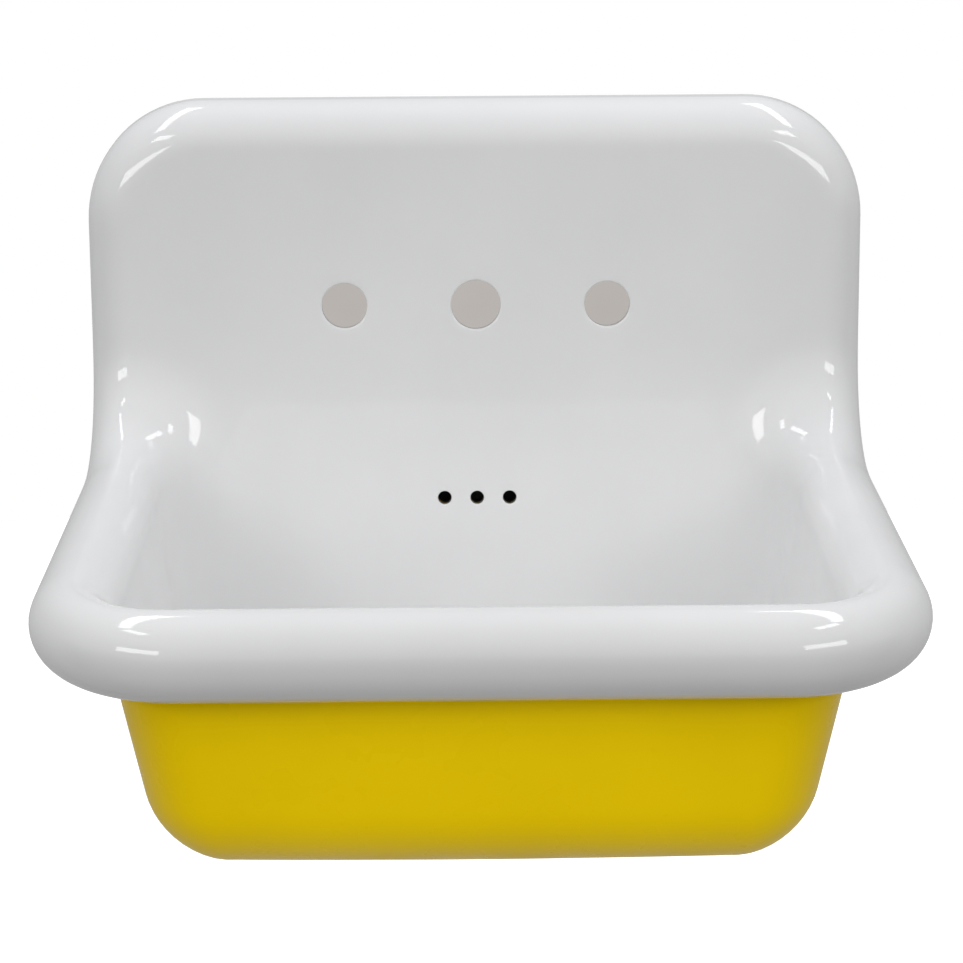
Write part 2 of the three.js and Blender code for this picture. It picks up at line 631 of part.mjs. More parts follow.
const locknutSolid = () => turnedSolid(ringProfile(0, NUT_R, ...NUT_Z), DRAIN_Y, 6)
  .subtract(turnedSolid(ringProfile(0, BODY_R + GAP, NUT_Z[0] - WALL, NUT_Z[1] + WALL), DRAIN_Y));

const washerSolid = (inner, outer, zRange) => turnedSolid(ringProfile(inner, outer, ...zRange), DRAIN_Y);

// ---------------------------------------------------------------- stopper
const CAP_R = 19.5;
const CAP_UNDER = FLOOR_Z - 1.8;
const CAP_DOME = 4;
const CAP_BOSS_R = 12;
const CAP_BOSS_LOW = FLOOR_Z - 5.4;
const STEM_R = 3.8;
const STEM_LOW = FLOOR_Z - 33;
const SPIGOT_R = 2.5;
const LIFT = 12;
const CLIP_Z = [HUB_Z[0] - LIFT - 3, HUB_Z[0] - LIFT - 1];
const KNOB_R = 7;
const KNOB_TOP = FLOOR_Z + 16;

function stopperCapSolid() {
  const profile = [[SPIGOT_R + GAP, CAP_BOSS_LOW], [CAP_BOSS_R, CAP_BOSS_LOW], [CAP_BOSS_R, CAP_UNDER],
    [CAP_R, CAP_UNDER], [CAP_R, CAP_UNDER + 1]];
  const steps = 5;
  for (let i = 1; i < steps; i += 1) {
    const angle = (i / steps) * (Math.PI / 2);
    profile.push([CAP_R * Math.cos(angle), CAP_UNDER + 1 + CAP_DOME * Math.sin(angle)]);
  }
  profile.push([SPIGOT_R + GAP, CAP_UNDER + 1 + CAP_DOME]);
  return turnedSolid(profile, DRAIN_Y);
}

function stopperSealSolid() {
  const seatR = (z) => BORE_R + ((z - SEAT_LOW) * (SEAT_R - BORE_R)) / (FLANGE_TOP - SEAT_LOW) - 1.5 * GAP;
  const high = CAP_UNDER - GAP;
  const low = SEAT_LOW + 1;
  const inner = CAP_BOSS_R + GAP;
  return turnedSolid([[inner, low], [seatR(low), low], [seatR(high), high], [inner, high]], DRAIN_Y);
}

function stopperStemSolid() {
  const shoulder = CAP_BOSS_LOW - GAP;
  const tip = CAP_UNDER + CAP_DOME;
  return turnedSolid([[0, STEM_LOW], [STEM_R, STEM_LOW], [STEM_R, CLIP_Z[0]], [STEM_R - 1, CLIP_Z[0]],
    [STEM_R - 1, CLIP_Z[1]], [STEM_R, CLIP_Z[1]], [STEM_R, shoulder], [SPIGOT_R, shoulder], [SPIGOT_R, tip],
    [0, tip]], DRAIN_Y, 20);
}

function stopperKnobSolid() {
  const foot = CAP_UNDER + 1 + CAP_DOME + GAP;
  return turnedSolid([[0, foot], [5, foot], [3.5, foot + 3], [3.5, KNOB_TOP - 8], [KNOB_R, KNOB_TOP - 5],
    [KNOB_R, KNOB_TOP - 2], [KNOB_R - 2, KNOB_TOP], [0, KNOB_TOP]], DRAIN_Y, 20);
}

// ---------------------------------------------------------------- assembly
addPiece('wall_hanger', hangerSolid(), ZINC);
addPiece('sink_casting', castingSolid(), ENAMEL);
addPiece('overflow_gasket', overflowGasketSolid(), RUBBER);
addPiece('overflow_duct', ductSolid(), IRON);
addPiece('overflow_screw_left', screwSolid(-SCREW_X), ZINC);
addPiece('overflow_screw_right', screwSolid(SCREW_X), ZINC);
addPiece('flange_seal', washerSolid(DRAIN_HOLE_R + 1, RECESS_R - 1.5, [RECESS_Z + GAP, FLANGE_UNDER - GAP]), PUTTY);
addPiece('drain_body', drainBodySolid(), BRASS);
addPiece('stem_guide', stemGuideSolid(), RAW_BRASS);
addPiece('collar_gasket', washerSolid(DRAIN_HOLE_R, 36, [COLLAR_GASKET_LOW, BOSS_Z - GAP]), RUBBER);
addPiece('body_gasket', washerSolid(BODY_R + GAP, 32, BODY_GASKET_Z), RUBBER);
addPiece('friction_washer', washerSolid(BODY_R + GAP, 31, FRICTION_Z), FIBRE);
addPiece('drain_locknut', locknutSolid(), RAW_BRASS);
addPiece('stopper_cap', stopperCapSolid(), BRASS);
addPiece('stopper_seal', stopperSealSolid(), RUBBER);
addPiece('stopper_stem', stopperStemSolid(), RAW_BRASS);
addPiece('stopper_clip', washerSolid(STEM_R - 1 + GAP, HUB_R, [CLIP_Z[0] + GAP, CLIP_Z[1] - GAP]), ZINC);
addPiece('stopper_knob', stopperKnobSolid(), BRASS);

export default sink;
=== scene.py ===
"""Wall-hung enamelled cast-iron sink: its looks, floor, light and camera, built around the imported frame."""

import math

import bmesh
import bpy
import numpy as np
from mathutils import Matrix, Vector


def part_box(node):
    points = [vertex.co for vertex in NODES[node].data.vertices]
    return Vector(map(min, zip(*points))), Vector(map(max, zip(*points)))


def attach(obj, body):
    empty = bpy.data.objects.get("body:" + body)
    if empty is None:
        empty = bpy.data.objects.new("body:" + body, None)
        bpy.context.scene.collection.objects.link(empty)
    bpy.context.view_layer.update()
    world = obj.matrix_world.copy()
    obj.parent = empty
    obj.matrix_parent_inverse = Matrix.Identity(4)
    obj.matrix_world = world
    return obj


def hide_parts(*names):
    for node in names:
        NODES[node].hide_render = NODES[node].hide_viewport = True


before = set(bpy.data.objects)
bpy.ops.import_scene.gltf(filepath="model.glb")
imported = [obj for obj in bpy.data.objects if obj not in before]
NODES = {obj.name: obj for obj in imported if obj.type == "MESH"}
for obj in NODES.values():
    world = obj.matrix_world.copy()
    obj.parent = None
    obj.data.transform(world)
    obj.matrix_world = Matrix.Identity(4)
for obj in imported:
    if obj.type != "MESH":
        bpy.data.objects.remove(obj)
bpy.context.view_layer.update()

MM = 0.001

# ------------------------------------------------------------------ the casting's dimensions, in millimetres
WIDTH = 601
ROLL_R = 31
RIM_Z = -210  # height of the rim roll's centreline
TOP_Z = RIM_Z + 284  # crest of the backsplash
FRONT_Y = -505
RIM_WIDTH = 56  # outside of the rolled rim to the basin wall
PLATE_Y = -75  # show face of the backsplash at rim height
LEAN = math.radians(6)  # backsplash leans back towards the wall
WALL = 8
TOP_CORNER_R = 91
FRONT_CORNER_R = 105
MOUTH_CORNER_R = 40
SWEEP_REACH = 80  # how far the concave sweep at the backsplash runs along the faces it joins
SWEEP_EASE = 2.6  # power of the sweep's curve: 2 is an arc, more is slower at both ends
SWEEP_R = 64  # radius of the arc nearest to that curve
FLOOR_Z = RIM_Z - 183  # show face of the basin floor at the drain
FLOOR_FALL = 0.02  # slope of the floor towards the drain
FLOOR_FILLET = 50
DRAFT = math.tan(math.radians(9.7))  # taper of the basin walls
DRAFT_START = 20  # height over which the taper begins
SKIRT_GAP = 1.5  # casting's back edge to the wall
CURL_END = math.radians(85)  # how far the rim curls under
DRAIN_Y = -235
FAUCET_Z = RIM_Z + 131
FAUCET_SPACING = 101.6
FAUCET_SIDE_R = 17.5
FAUCET_MIDDLE_R = 19
OVERFLOW_Z = RIM_Z - 20
OVERFLOW_SPACING = 25.4
OVERFLOW_R = 5.25
DRAIN_HOLE_R = 22
RECESS_R = 32.5
RECESS_Z = FLOOR_Z - 4
GAP = 0.3  # clearance between pieces that touch
COAT = 1.2  # depth of the back that is finished apart from the show side
SKIRT_EDGE = SKIRT_GAP + (WALL - COAT) / 2  # where the skirt's rounded edge begins

MOUTH_X = WIDTH / 2 - RIM_WIDTH
MOUTH_FRONT_Y = FRONT_Y + RIM_WIDTH
CREST_Z = RIM_Z + ROLL_R
PLATE_NORMAL = np.array([0, -math.cos(LEAN), math.sin(LEAN)])


def plate_front(z):
    return PLATE_Y + math.tan(LEAN) * (z - RIM_Z)


# ------------------------------------------------------------------ the casting's show surface
# Signed distances in millimetres over arrays of points, negative inside the iron.
def smooth(value, low, high):
    t = np.clip((value - low) / (high - low), 0, 1)
    return t * t * (3 - 2 * t)


def rounded_meet(a, b, radius, ease=2):
    inside = np.minimum(np.maximum(a + radius, b + radius), 0)
    across = np.maximum(a + radius, 0)**ease + np.maximum(b + radius, 0)**ease
    return inside + across**(1 / ease) - radius


def rounded_join(a, b, radius, ease=2):
    return -rounded_meet(-a, -b, radius, ease)


def corner_distance(across, along, radius):
    a = across + radius
    b = along + radius
    return np.hypot(np.maximum(a, 0), np.maximum(b, 0)) + np.minimum(np.maximum(a, b), 0) - radius


def draw_in(z):
    drop = RIM_Z - z
    return DRAFT * (drop + np.hypot(drop, DRAFT_START)) / 2


def show_distance(points):
    x, y, z = points[..., 0], points[..., 1], points[..., 2]
    side = np.abs(x)
    plate = (plate_front(z) - y) * math.cos(LEAN)
    inset = draw_in(z)
    pocket = -corner_distance(side - MOUTH_X + inset, MOUTH_FRONT_Y + inset - y, MOUTH_CORNER_R)
    rim = rounded_meet(z - CREST_Z, pocket, ROLL_R)
    floor = z - FLOOR_Z - FLOOR_FALL * np.hypot(x, y - DRAIN_Y)
    sweep = rounded_join(plate, rim, SWEEP_REACH, SWEEP_EASE)
    basin = rounded_join(sweep, floor, FLOOR_FILLET)
    plan = corner_distance(side - WIDTH / 2, FRONT_Y - y, FRONT_CORNER_R)
    front = corner_distance(side - WIDTH / 2, z - TOP_Z, TOP_CORNER_R)
    return rounded_meet(basin, np.maximum(plan, front), ROLL_R)


def show_slope(points, step=0.01):
    slopes = []
    for axis in range(3):
        shift = np.zeros(3)
        shift[axis] = step
        slopes.append((show_distance(points + shift) - show_distance(points - shift)) / (2 * step))
    return np.stack(slopes, -1)


def onto_show_surface(points, steps):
    for _ in range(steps):
        slope = show_slope(points)
        points = points - slope * (show_distance(points) / (slope**2).sum(-1))[..., None]
    return points


def unit(vectors):
    return vectors / np.linalg.norm(vectors, axis=-1, keepdims=True)


# ------------------------------------------------------------------ stations round the rim
ROLL_X = WIDTH / 2 - ROLL_R
TOP_ARC = TOP_CORNER_R - ROLL_R
TOP_ROLL_Z = TOP_Z - ROLL_R
SWEEP_ARC = SWEEP_R + ROLL_R
FRONT_ARC = FRONT_CORNER_R - ROLL_R
SIDE_CORNER_Y = FRONT_Y + FRONT_CORNER_R
SKIRT_LOW_Z = RIM_Z - ROLL_R


def roll_y(z):
    return plate_front(z) + ROLL_R / math.cos(LEAN)


SWEEP_CENTRE = np.array(
    [ROLL_X, roll_y(RIM_Z + SWEEP_ARC) - SWEEP_ARC / math.cos(LEAN), RIM_Z + SWEEP_ARC])
SWEEP_TOP_Z = SWEEP_CENTRE[2] - SWEEP_ARC * math.sin(LEAN)

BOTTOM_X = MOUTH_X - draw_in(FLOOR_Z)
BOTTOM_FRONT_Y = MOUTH_FRONT_Y + draw_in(FLOOR_Z)
BOTTOM_BACK_Y = plate_front(FLOOR_Z)
BACK_SPAN = BOTTOM_X - SWEEP_R


def mix(a, b, share):
    return a + (b - a) * share


# A station is a place on the rim roll: its centre, the ways out and to the show face, the foot of the skirt,
# the point below it on the basin floor, and how far the skirt curls and the roll's inside is round, 0 to 1.
def plate_station(x, z, out, share):
    centre = np.array([x, roll_y(z), z])
    edge = centre + ROLL_R * out
    return {"centre": centre, "out": out, "face": PLATE_NORMAL,
            "foot": np.array([edge[0], -SKIRT_EDGE, edge[2]]),
            "bottom": np.array([share * BACK_SPAN, BOTTOM_BACK_Y, FLOOR_Z]), "curl": 0, "round": 0}


def rim_station(centre, out, bottom_x, bottom_y):
    return {"centre": centre, "out": out, "face": np.array([0, 0, 1.0]), "foot": centre,
            "bottom": np.array([bottom_x, bottom_y, FLOOR_Z]), "curl": 1, "round": 1}


# shares of the basin's back that the lines from the top edge and from its corners reach
TOP_SHARE = 0.5
CORNER_SHARE = 0.8


def top_station(s):
    return plate_station(s * (ROLL_X - TOP_ARC), TOP_ROLL_Z, np.array([0, 0, 1.0]), TOP_SHARE * s)


def top_corner_station(s):
    out = np.array([math.sin(s * math.pi / 2), 0, math.cos(s * math.pi / 2)])
    x = ROLL_X - TOP_ARC + TOP_ARC * out[0]
    return plate_station(x, TOP_ROLL_Z - TOP_ARC + TOP_ARC * out[2], out, mix(TOP_SHARE, CORNER_SHARE, s))


def plate_side_station(s):
    z = mix(TOP_ROLL_Z - TOP_ARC, SWEEP_TOP_Z, s)
    return plate_station(ROLL_X, z, np.array([1.0, 0, 0]), mix(CORNER_SHARE, 1, s))


def sweep_station(s):
    angle = mix(LEAN, math.pi / 2, s)
    face = np.array([0, -math.cos(angle), math.sin(angle)])
    down = min(2 * s, 1)
    forward = max(2 * s - 1, 0)
    turn = s * math.pi / 2
    foot = np.array([WIDTH / 2, mix(-SKIRT_EDGE, SWEEP_CENTRE[1], forward),
                     mix(SWEEP_TOP_Z, SKIRT_LOW_Z, down)])
    bottom = np.array([BACK_SPAN + SWEEP_R * math.sin(turn),
                       BOTTOM_BACK_Y - SWEEP_R * (1 - math.cos(turn)), FLOOR_Z])
    return {"centre": SWEEP_CENTRE - SWEEP_ARC * face, "out": np.array([1.0, 0, 0]), "face": face,
            "foot": foot, "bottom": bottom, "curl": float(smooth(forward, 0, 1)),
            "round": float(smooth(s, 0, 1))}


def rim_side_station(s):
    bottom_y = mix(BOTTOM_BACK_Y - SWEEP_R, BOTTOM_FRONT_Y + MOUTH_CORNER_R, s)
    centre = np.array([ROLL_X, mix(SWEEP_CENTRE[1], SIDE_CORNER_Y, s), RIM_Z])
    return rim_station(centre, np.array([1.0, 0, 0]), BOTTOM_X, bottom_y)


def front_corner_station(s):
    out = np.array([math.cos(s * math.pi / 2), -math.sin(s * math.pi / 2), 0])
    centre = np.array([ROLL_X - FRONT_ARC + FRONT_ARC * out[0], SIDE_CORNER_Y + FRONT_ARC * out[1], RIM_Z])
    return rim_station(centre, out, BOTTOM_X - MOUTH_CORNER_R * (1 - out[0]),
                       BOTTOM_FRONT_Y + MOUTH_CORNER_R * (1 + out[1]))


def front_station(s):
    centre = np.array([mix(ROLL_X - FRONT_ARC, 0, s), FRONT_Y + ROLL_R, RIM_Z])
    return rim_station(centre, np.array([0, -1.0, 0]), mix(BOTTOM_X - MOUTH_CORNER_R, 0, s), BOTTOM_FRONT_Y)


def rim_stations():
    """Stations down the right half from the middle of the top to the middle of the front."""
    stretches = [(top_station, 20), (top_corner_station, 20), (plate_side_station, 14), (sweep_station, 44),
                 (rim_side_station, 22), (front_corner_station, 24), (front_station, 24)]
    right = [station(i / count) for station, count in stretches for i in range(count)]
    return right + [front_station(1)]


# ------------------------------------------------------------------ the casting's sheets
SKIRT_STEPS = 10
ROLL_STEPS = 12
WALL_STEPS = 26
FILLET_STEPS = 12
FLOOR_STEPS = 16
DRAIN_RING = 12  # radius of the grid's last row, inside the drain hole


def roll_point(station, angle):
    return station["centre"] + ROLL_R * (math.cos(angle) * station["out"] + math.sin(angle) * station["face"])


def skirt_point(station, share):
    """Show-side point and outward normal on the skirt, as in the CAD."""
    straight = mix(roll_point(station, 0), station["foot"], share)
    curled = roll_point(station, -share * CURL_END)
    curled_normal = unit(curled - station["centre"])
    return mix(straight, curled, station["curl"]), unit(mix(station["out"], curled_normal, station["curl"]))


def rough_line(station):
    rough = [roll_point(station, i / ROLL_STEPS * math.pi / 2) for i in range(ROLL_STEPS + 1)]
    inner = rough[-1]
    for i in range(1, ROLL_STEPS + 1):
        angle = (1 + i / ROLL_STEPS) * math.pi / 2
        flat = roll_point(station, math.pi / 2) + ROLL_R * math.cos(angle) * station["out"]
        inner = mix(flat, roll_point(station, angle), station["round"])
        rough.append(inner)
    drain = np.array([0, DRAIN_Y, FLOOR_Z])
    bottom = station["bottom"]
    wall_foot = bottom + np.array([0, 0, FLOOR_FILLET])
    floor_edge = mix(bottom, drain, FLOOR_FILLET / np.linalg.norm(bottom - drain))
    rough += [mix(inner, wall_foot, i / WALL_STEPS) for i in range(1, WALL_STEPS + 1)]
    for i in range(1, FILLET_STEPS + 1):
        share = i / FILLET_STEPS
        rough.append(mix(mix(wall_foot, bottom, share), mix(bottom, floor_edge, share), share))
    ring = drain + DRAIN_RING * unit(floor_edge - drain)
    rough += [mix(floor_edge, ring, i / FLOOR_STEPS) for i in range(1, FLOOR_STEPS + 1)]
    return rough


RELAX_ROUNDS = 60
RELAX_PULL = 0.5
START_STEPS = 20  # Newton steps that bring the rough lines onto the show surface
SETTLE_STEPS = 6


def relaxed(points, whole):
    """Evens out the grid over the show surface. Its end rows stay, and so does its mirror plane."""
    for _ in range(RELAX_ROUNDS):
        padded = np.concatenate([whole(points[1:2]), points, whole(points[-2:-1])])
        beside = (padded[:-2] + padded[2:]) / 2
        along = points.copy()
        along[:, 1:-1] = (points[:, :-2] + points[:, 2:]) / 2
        moved = mix(points, (beside + along) / 2, RELAX_PULL)
        moved[:, 0] = points[:, 0]
        moved[:, -1] = points[:, -1]
        points = onto_show_surface(moved, 1)
    return onto_show_surface(points, SETTLE_STEPS)


def flipped(points):
    return points * np.array([-1, 1, 1])


def show_grid():
    """Show-side points and outward normals, in columns round the rim and rows from skirt edge to drain."""
    stations = rim_stations()
    skirt = [[skirt_point(s, i / SKIRT_STEPS) for i in range(SKIRT_STEPS, 0, -1)] for s in stations]
    skirt_points = np.array([[p for p, _ in line] for line in skirt])
    skirt_normals = np.array([[n for _, n in line] for line in skirt])
    face = relaxed(onto_show_surface(np.array([rough_line(s) for s in stations]), START_STEPS), flipped)
    normals = unit(show_slope(face))
    points = np.concatenate([skirt_points, face], 1)
    normals = np.concatenate([skirt_normals, normals], 1)
    points = np.concatenate([points, flipped(points[1:-1][::-1])])
    normals = np.concatenate([normals, flipped(normals[1:-1][::-1])])
    return points, normals


LIP_STEPS = 6


def shell(points, normals, outer, inner):
    """Vertices and faces of the closed shell between two depths behind the show side, with a rounded edge."""
    columns = len(points)
    reach = unit(points[:, 0] - points[:, 1])
    middle = points[:, 0] - normals[:, 0] * (outer + inner) / 2
    half = (inner - outer) / 2
    lip = []
    for i in range(1, LIP_STEPS):
        angle = i / LIP_STEPS * math.pi
        lip.append(middle + half * (math.cos(angle) * normals[:, 0] + math.sin(angle) * reach))
    front = points - normals * outer
    back = points - normals * inner
    rows = np.concatenate([front[:, ::-1], np.stack(lip, 1), back], 1)
    count = rows.shape[1]
    poles = [[0, DRAIN_Y, FLOOR_Z - outer], [0, DRAIN_Y, FLOOR_Z - inner]]
    vertices = np.concatenate([rows.reshape(-1, 3), poles])
    faces = []
    for i in range(columns):
        here, beside = i * count, (i + 1) % columns * count
        faces += [(here + j, beside + j, beside + j + 1, here + j + 1) for j in range(count - 1)]
        faces.append((here, columns * count, beside))
        faces.append((here + count - 1, beside + count - 1, columns * count + 1))
    return vertices, faces


# ------------------------------------------------------------------ mesh helpers
def new_object(name, vertices, faces):
    mesh = bpy.data.meshes.new(name)
    mesh.from_pydata([tuple(v) for v in np.asarray(vertices) * MM], [], faces)
    mesh.validate()
    piece = bpy.data.objects.new(name, mesh)
    bpy.context.scene.collection.objects.link(piece)
    tidy_mesh(piece)
    return piece


def tidy_mesh(piece):
    """Merges stray doubles, turns every face outwards and shades smooth."""
    made = bmesh.new()
    made.from_mesh(piece.data)
    bmesh.ops.remove_doubles(made, verts=made.verts, dist=1e-6)
    bmesh.ops.recalc_face_normals(made, faces=made.faces)
    made.to_mesh(piece.data)
    made.free()
    piece.data.polygons.foreach_set("use_smooth", [True] * len(piece.data.polygons))


def soft(profile, radius, closed=True, steps=4):
    """The profile with its corners eased over a radius. An open profile keeps its two ends."""
    points = [np.array(p, float) for p in profile]
    eased = []
    for i, corner in enumerate(points):
        if not closed and i in (0, len(points) - 1):
            eased.append(tuple(corner))
            continue
        before = points[i - 1] - corner
        after = points[(i + 1) % len(points)] - corner
        reach = min(radius, 0.45 * np.linalg.norm(before), 0.45 * np.linalg.norm(after))
        start = corner + reach * unit(before)
        end = corner + reach * unit(after)
        for k in range(steps + 1):
            share = k / steps
            eased.append(tuple(mix(mix(start, corner, share), mix(corner, end, share), share)))
    return eased


def turned(name, profile, centre=(0, 0), segments=96, radius_at=None):
    """A piece turned about an upright axis. Its [radius, height] points start and end on the axis, close on
    themselves, or start on the axis and end off it as a plain disc. radius_at may change a radius with the
    angle and height."""
    vertices, faces = [], []
    rings = []
    for radius, height in profile:
        if radius == 0:
            rings.append([len(vertices)])
            vertices.append((*centre, height))
            continue
        rings.append(range(len(vertices), len(vertices) + segments))
        for i in range(segments):
            angle = 2 * math.pi * i / segments
            here = radius_at(radius, angle, height) if radius_at else radius
            vertices.append((centre[0] + here * math.cos(angle), centre[1] + here * math.sin(angle), height))
    pairs = list(zip(rings, rings[1:]))
    if len(rings[0]) > 1:
        pairs.append((rings[-1], rings[0]))
    for low, high in pairs:
        for i in range(segments):
            j = (i + 1) % segments
            corners = [low[i % len(low)], low[j % len(low)], high[j % len(high)], high[i % len(high)]]
            unique = list(dict.fromkeys(corners))
            if len(unique) > 2:
                faces.append(unique)
    return new_object(name, vertices, faces)


def hexagon_nut(name, profile, corner, bore, centre=(0, 0)):
    """A turned piece whose radii above the bore are held within a hexagon of the given corner radius."""
    def held(radius, angle, _):
        turn = (angle - math.pi / 2) % (math.pi / 3) - math.pi / 6
        return min(radius, corner * math.cos(math.pi / 6) / math.cos(turn)) if radius > bore else radius
    return turned(name, profile, centre, radius_at=held)


def prism(name, profile, x_low, x_high):
    """A [y, z] profile drawn out across x."""
    count = len(profile)
    vertices = [(x, y, z) for x in (x_low, x_high) for y, z in profile]
    faces = [tuple(range(count)), tuple(range(2 * count - 1, count - 1, -1))]
    faces += [(i, (i + 1) % count, count + (i + 1) % count, count + i) for i in range(count)]
    return new_object(name, vertices, faces)


FLAT = math.radians(1)
SHARP = math.radians(30)
EDGE_STEPS = 3


def ease_edges(piece, radius):
    """Rounds the sharp edges of a piece and keeps its flats flat."""
    made = bmesh.new()
    made.from_mesh(piece.data)
    bmesh.ops.dissolve_limit(made, angle_limit=FLAT, verts=made.verts, edges=made.edges)
    sharp = [edge for edge in made.edges if edge.is_manifold and edge.calc_face_angle(0) > SHARP]
    bmesh.ops.bevel(made, geom=sharp, offset=radius * MM, segments=EDGE_STEPS, profile=0.5, affect="EDGES",
                    clamp_overlap=True)
    made.to_mesh(piece.data)
    made.free()
    keep_flats(piece)


def keep_flats(piece):
    piece.data.polygons.foreach_set("use_smooth", [True] * len(piece.data.polygons))
    piece.modifiers.new("even_shading", "WEIGHTED_NORMAL").weight = 100


def eased_copy(node, name, radius):
    """A copy of a CAD node with its edges rounded."""
    source = NODES[node].data
    piece = new_object(name, [v.co / MM for v in source.vertices],
                       [tuple(f.vertices) for f in source.polygons])
    ease_edges(piece, radius)
    return piece


def cut(piece, tools):
    """Cuts the tools' shapes out of the piece and removes the tools."""
    joined = bmesh.new()
    for tool in tools:
        joined.from_mesh(tool.data)
        bpy.data.objects.remove(tool)
    mesh = bpy.data.meshes.new("tools")
    joined.to_mesh(mesh)
    joined.free()
    cutter = bpy.data.objects.new("tools", mesh)
    bpy.context.scene.collection.objects.link(cutter)
    modifier = piece.modifiers.new("cut", "BOOLEAN")
    modifier.operation = "DIFFERENCE"
    modifier.solver = "EXACT"
    modifier.object = cutter
    bpy.context.view_layer.update()
    graph = bpy.context.evaluated_depsgraph_get()
    result = bpy.data.meshes.new_from_object(piece.evaluated_get(graph), depsgraph=graph)
    piece.modifiers.clear()
    old = piece.data
    piece.data = result
    bpy.data.meshes.remove(old)
    bpy.data.objects.remove(cutter)


def against_plate(tool, x, z, depth=0, backwards=False):
    """Stands a turned piece on the backsplash at a depth behind its show face, square to the plate."""
    out = Vector(PLATE_NORMAL)
    turn = Vector((0, 0, 1)).rotation_difference(-out if backwards else out).to_matrix().to_4x4()
    place = Matrix.Translation((Vector((x, plate_front(z), z)) - out * depth) * MM)
    tool.data.transform(place @ turn)


LIP_ARC = 8
FAUCET_LIP = 1.6
OVERFLOW_LIP = 1.2
CUT_OVER = 0.02  # how far the lip's arc stands above the surface it meets
CUT_CLEAR = 3
CUT_DEPTH = 3 * WALL
RECESS_LIP = 1.2


def flared_hole(name, radius, lip, depth):
    """A cutter for a round hole whose lip is rounded where it meets the surface at height 0."""
    profile = [(0, -depth), (radius, -depth)]
    for i in range(LIP_ARC + 1):
        angle = i / LIP_ARC * math.pi / 2
        profile.append((radius + lip * (1 - math.cos(angle)), -lip * (1 - math.sin(angle)) + CUT_OVER))
    profile += [(radius + lip, CUT_CLEAR), (0, CUT_CLEAR)]
    return turned(name, profile)


def overflow_tools():
    tools = []
    for x in (-OVERFLOW_SPACING, 0, OVERFLOW_SPACING):
        tools.append(flared_hole("overflow_tool", OVERFLOW_R, OVERFLOW_LIP, CUT_DEPTH))
        against_plate(tools[-1], x, OVERFLOW_Z)
    return tools


def casting_tools():
    """The cutters for the faucet holes, the overflow holes and the drain hole with its recess."""
    tools = overflow_tools()
    for x, radius in ((-FAUCET_SPACING, FAUCET_SIDE_R), (0, FAUCET_MIDDLE_R),
                      (FAUCET_SPACING, FAUCET_SIDE_R)):
        tools.append(flared_hole("faucet_tool", radius, FAUCET_LIP, CUT_DEPTH))
        against_plate(tools[-1], x, FAUCET_Z)
    low, high = FLOOR_Z - CUT_DEPTH, FLOOR_Z + WALL
    # a 1 mm ease at the foot, and a lip that rolls out onto the floor
    recess = [(DRAIN_HOLE_R, RECESS_Z), (RECESS_R - 1, RECESS_Z), (RECESS_R, RECESS_Z + 1),
              (RECESS_R, FLOOR_Z - 0.6), (RECESS_R + 0.3, FLOOR_Z + 0.2),
              (RECESS_R + RECESS_LIP, FLOOR_Z + 0.68), (RECESS_R + RECESS_LIP, high)]
    tools.append(turned("drain_tool", [(0, low), (DRAIN_HOLE_R, low), *recess, (0, high)], (0, DRAIN_Y)))
    return tools


# ------------------------------------------------------------------ materials
def material(name):
    made = bpy.data.materials.new(name)
    made.use_nodes = True
    return made, made.node_tree.nodes, made.node_tree.links, made.node_tree.nodes["Principled BSDF"]


def noise(nodes, links, coordinates, scale, detail=2.0, roughness=0.5):
    node = nodes.new("ShaderNodeTexNoise")
    node.inputs["Scale"].default_value = scale
    node.inputs["Detail"].default_value = detail
    node.inputs["Roughness"].default_value = roughness
    links.new(coordinates, node.inputs["Vector"])
    return node.outputs["Fac"]


def ramp(nodes, links, value, stops):
    node = nodes.new("ShaderNodeValToRGB")
    while len(node.color_ramp.elements) < len(stops):
        node.color_ramp.elements.new(0.5)
    for element, (position, colour) in zip(node.color_ramp.elements, stops):
        element.position = position
        element.color = (*colour, 1)
    links.new(value, node.inputs["Fac"])
    return node.outputs["Color"]


def bump(nodes, links, height, strength, distance, normal=None):
    node = nodes.new("ShaderNodeBump")
    node.inputs["Strength"].default_value = strength
    node.inputs["Distance"].default_value = distance
    links.new(height, node.inputs["Height"])
    if normal is not None:
        links.new(normal, node.inputs["Normal"])
    return node.outputs["Normal"]


def mapped(nodes, links, stretch=(1, 1, 1)):
    mapping = nodes.new("ShaderNodeMapping")
    mapping.inputs["Scale"].default_value = stretch
    links.new(nodes.new("ShaderNodeTexCoord").outputs["Object"], mapping.inputs["Vector"])
    return mapping.outputs["Vector"]


def grey(value):
    return (value, value, value)


# the enamel's noise scales, in cells per metre, and depths, in metres
TINT_SCALE = 7
GLOSS_SCALE = 24
SPRAY_SCALE = 160
GROUND_SCALE = 90
GROUND_GLOSS_SCALE = 60
RIPPLE_SCALE = 16
PEEL_SCALE = 420
RIPPLE_DEPTH = 0.0006
PEEL_DEPTH = 0.0001
OVERSPRAY = 0.03  # metres over which the outside enamel thins out
COAT_TOP_Z = -212  # in millimetres


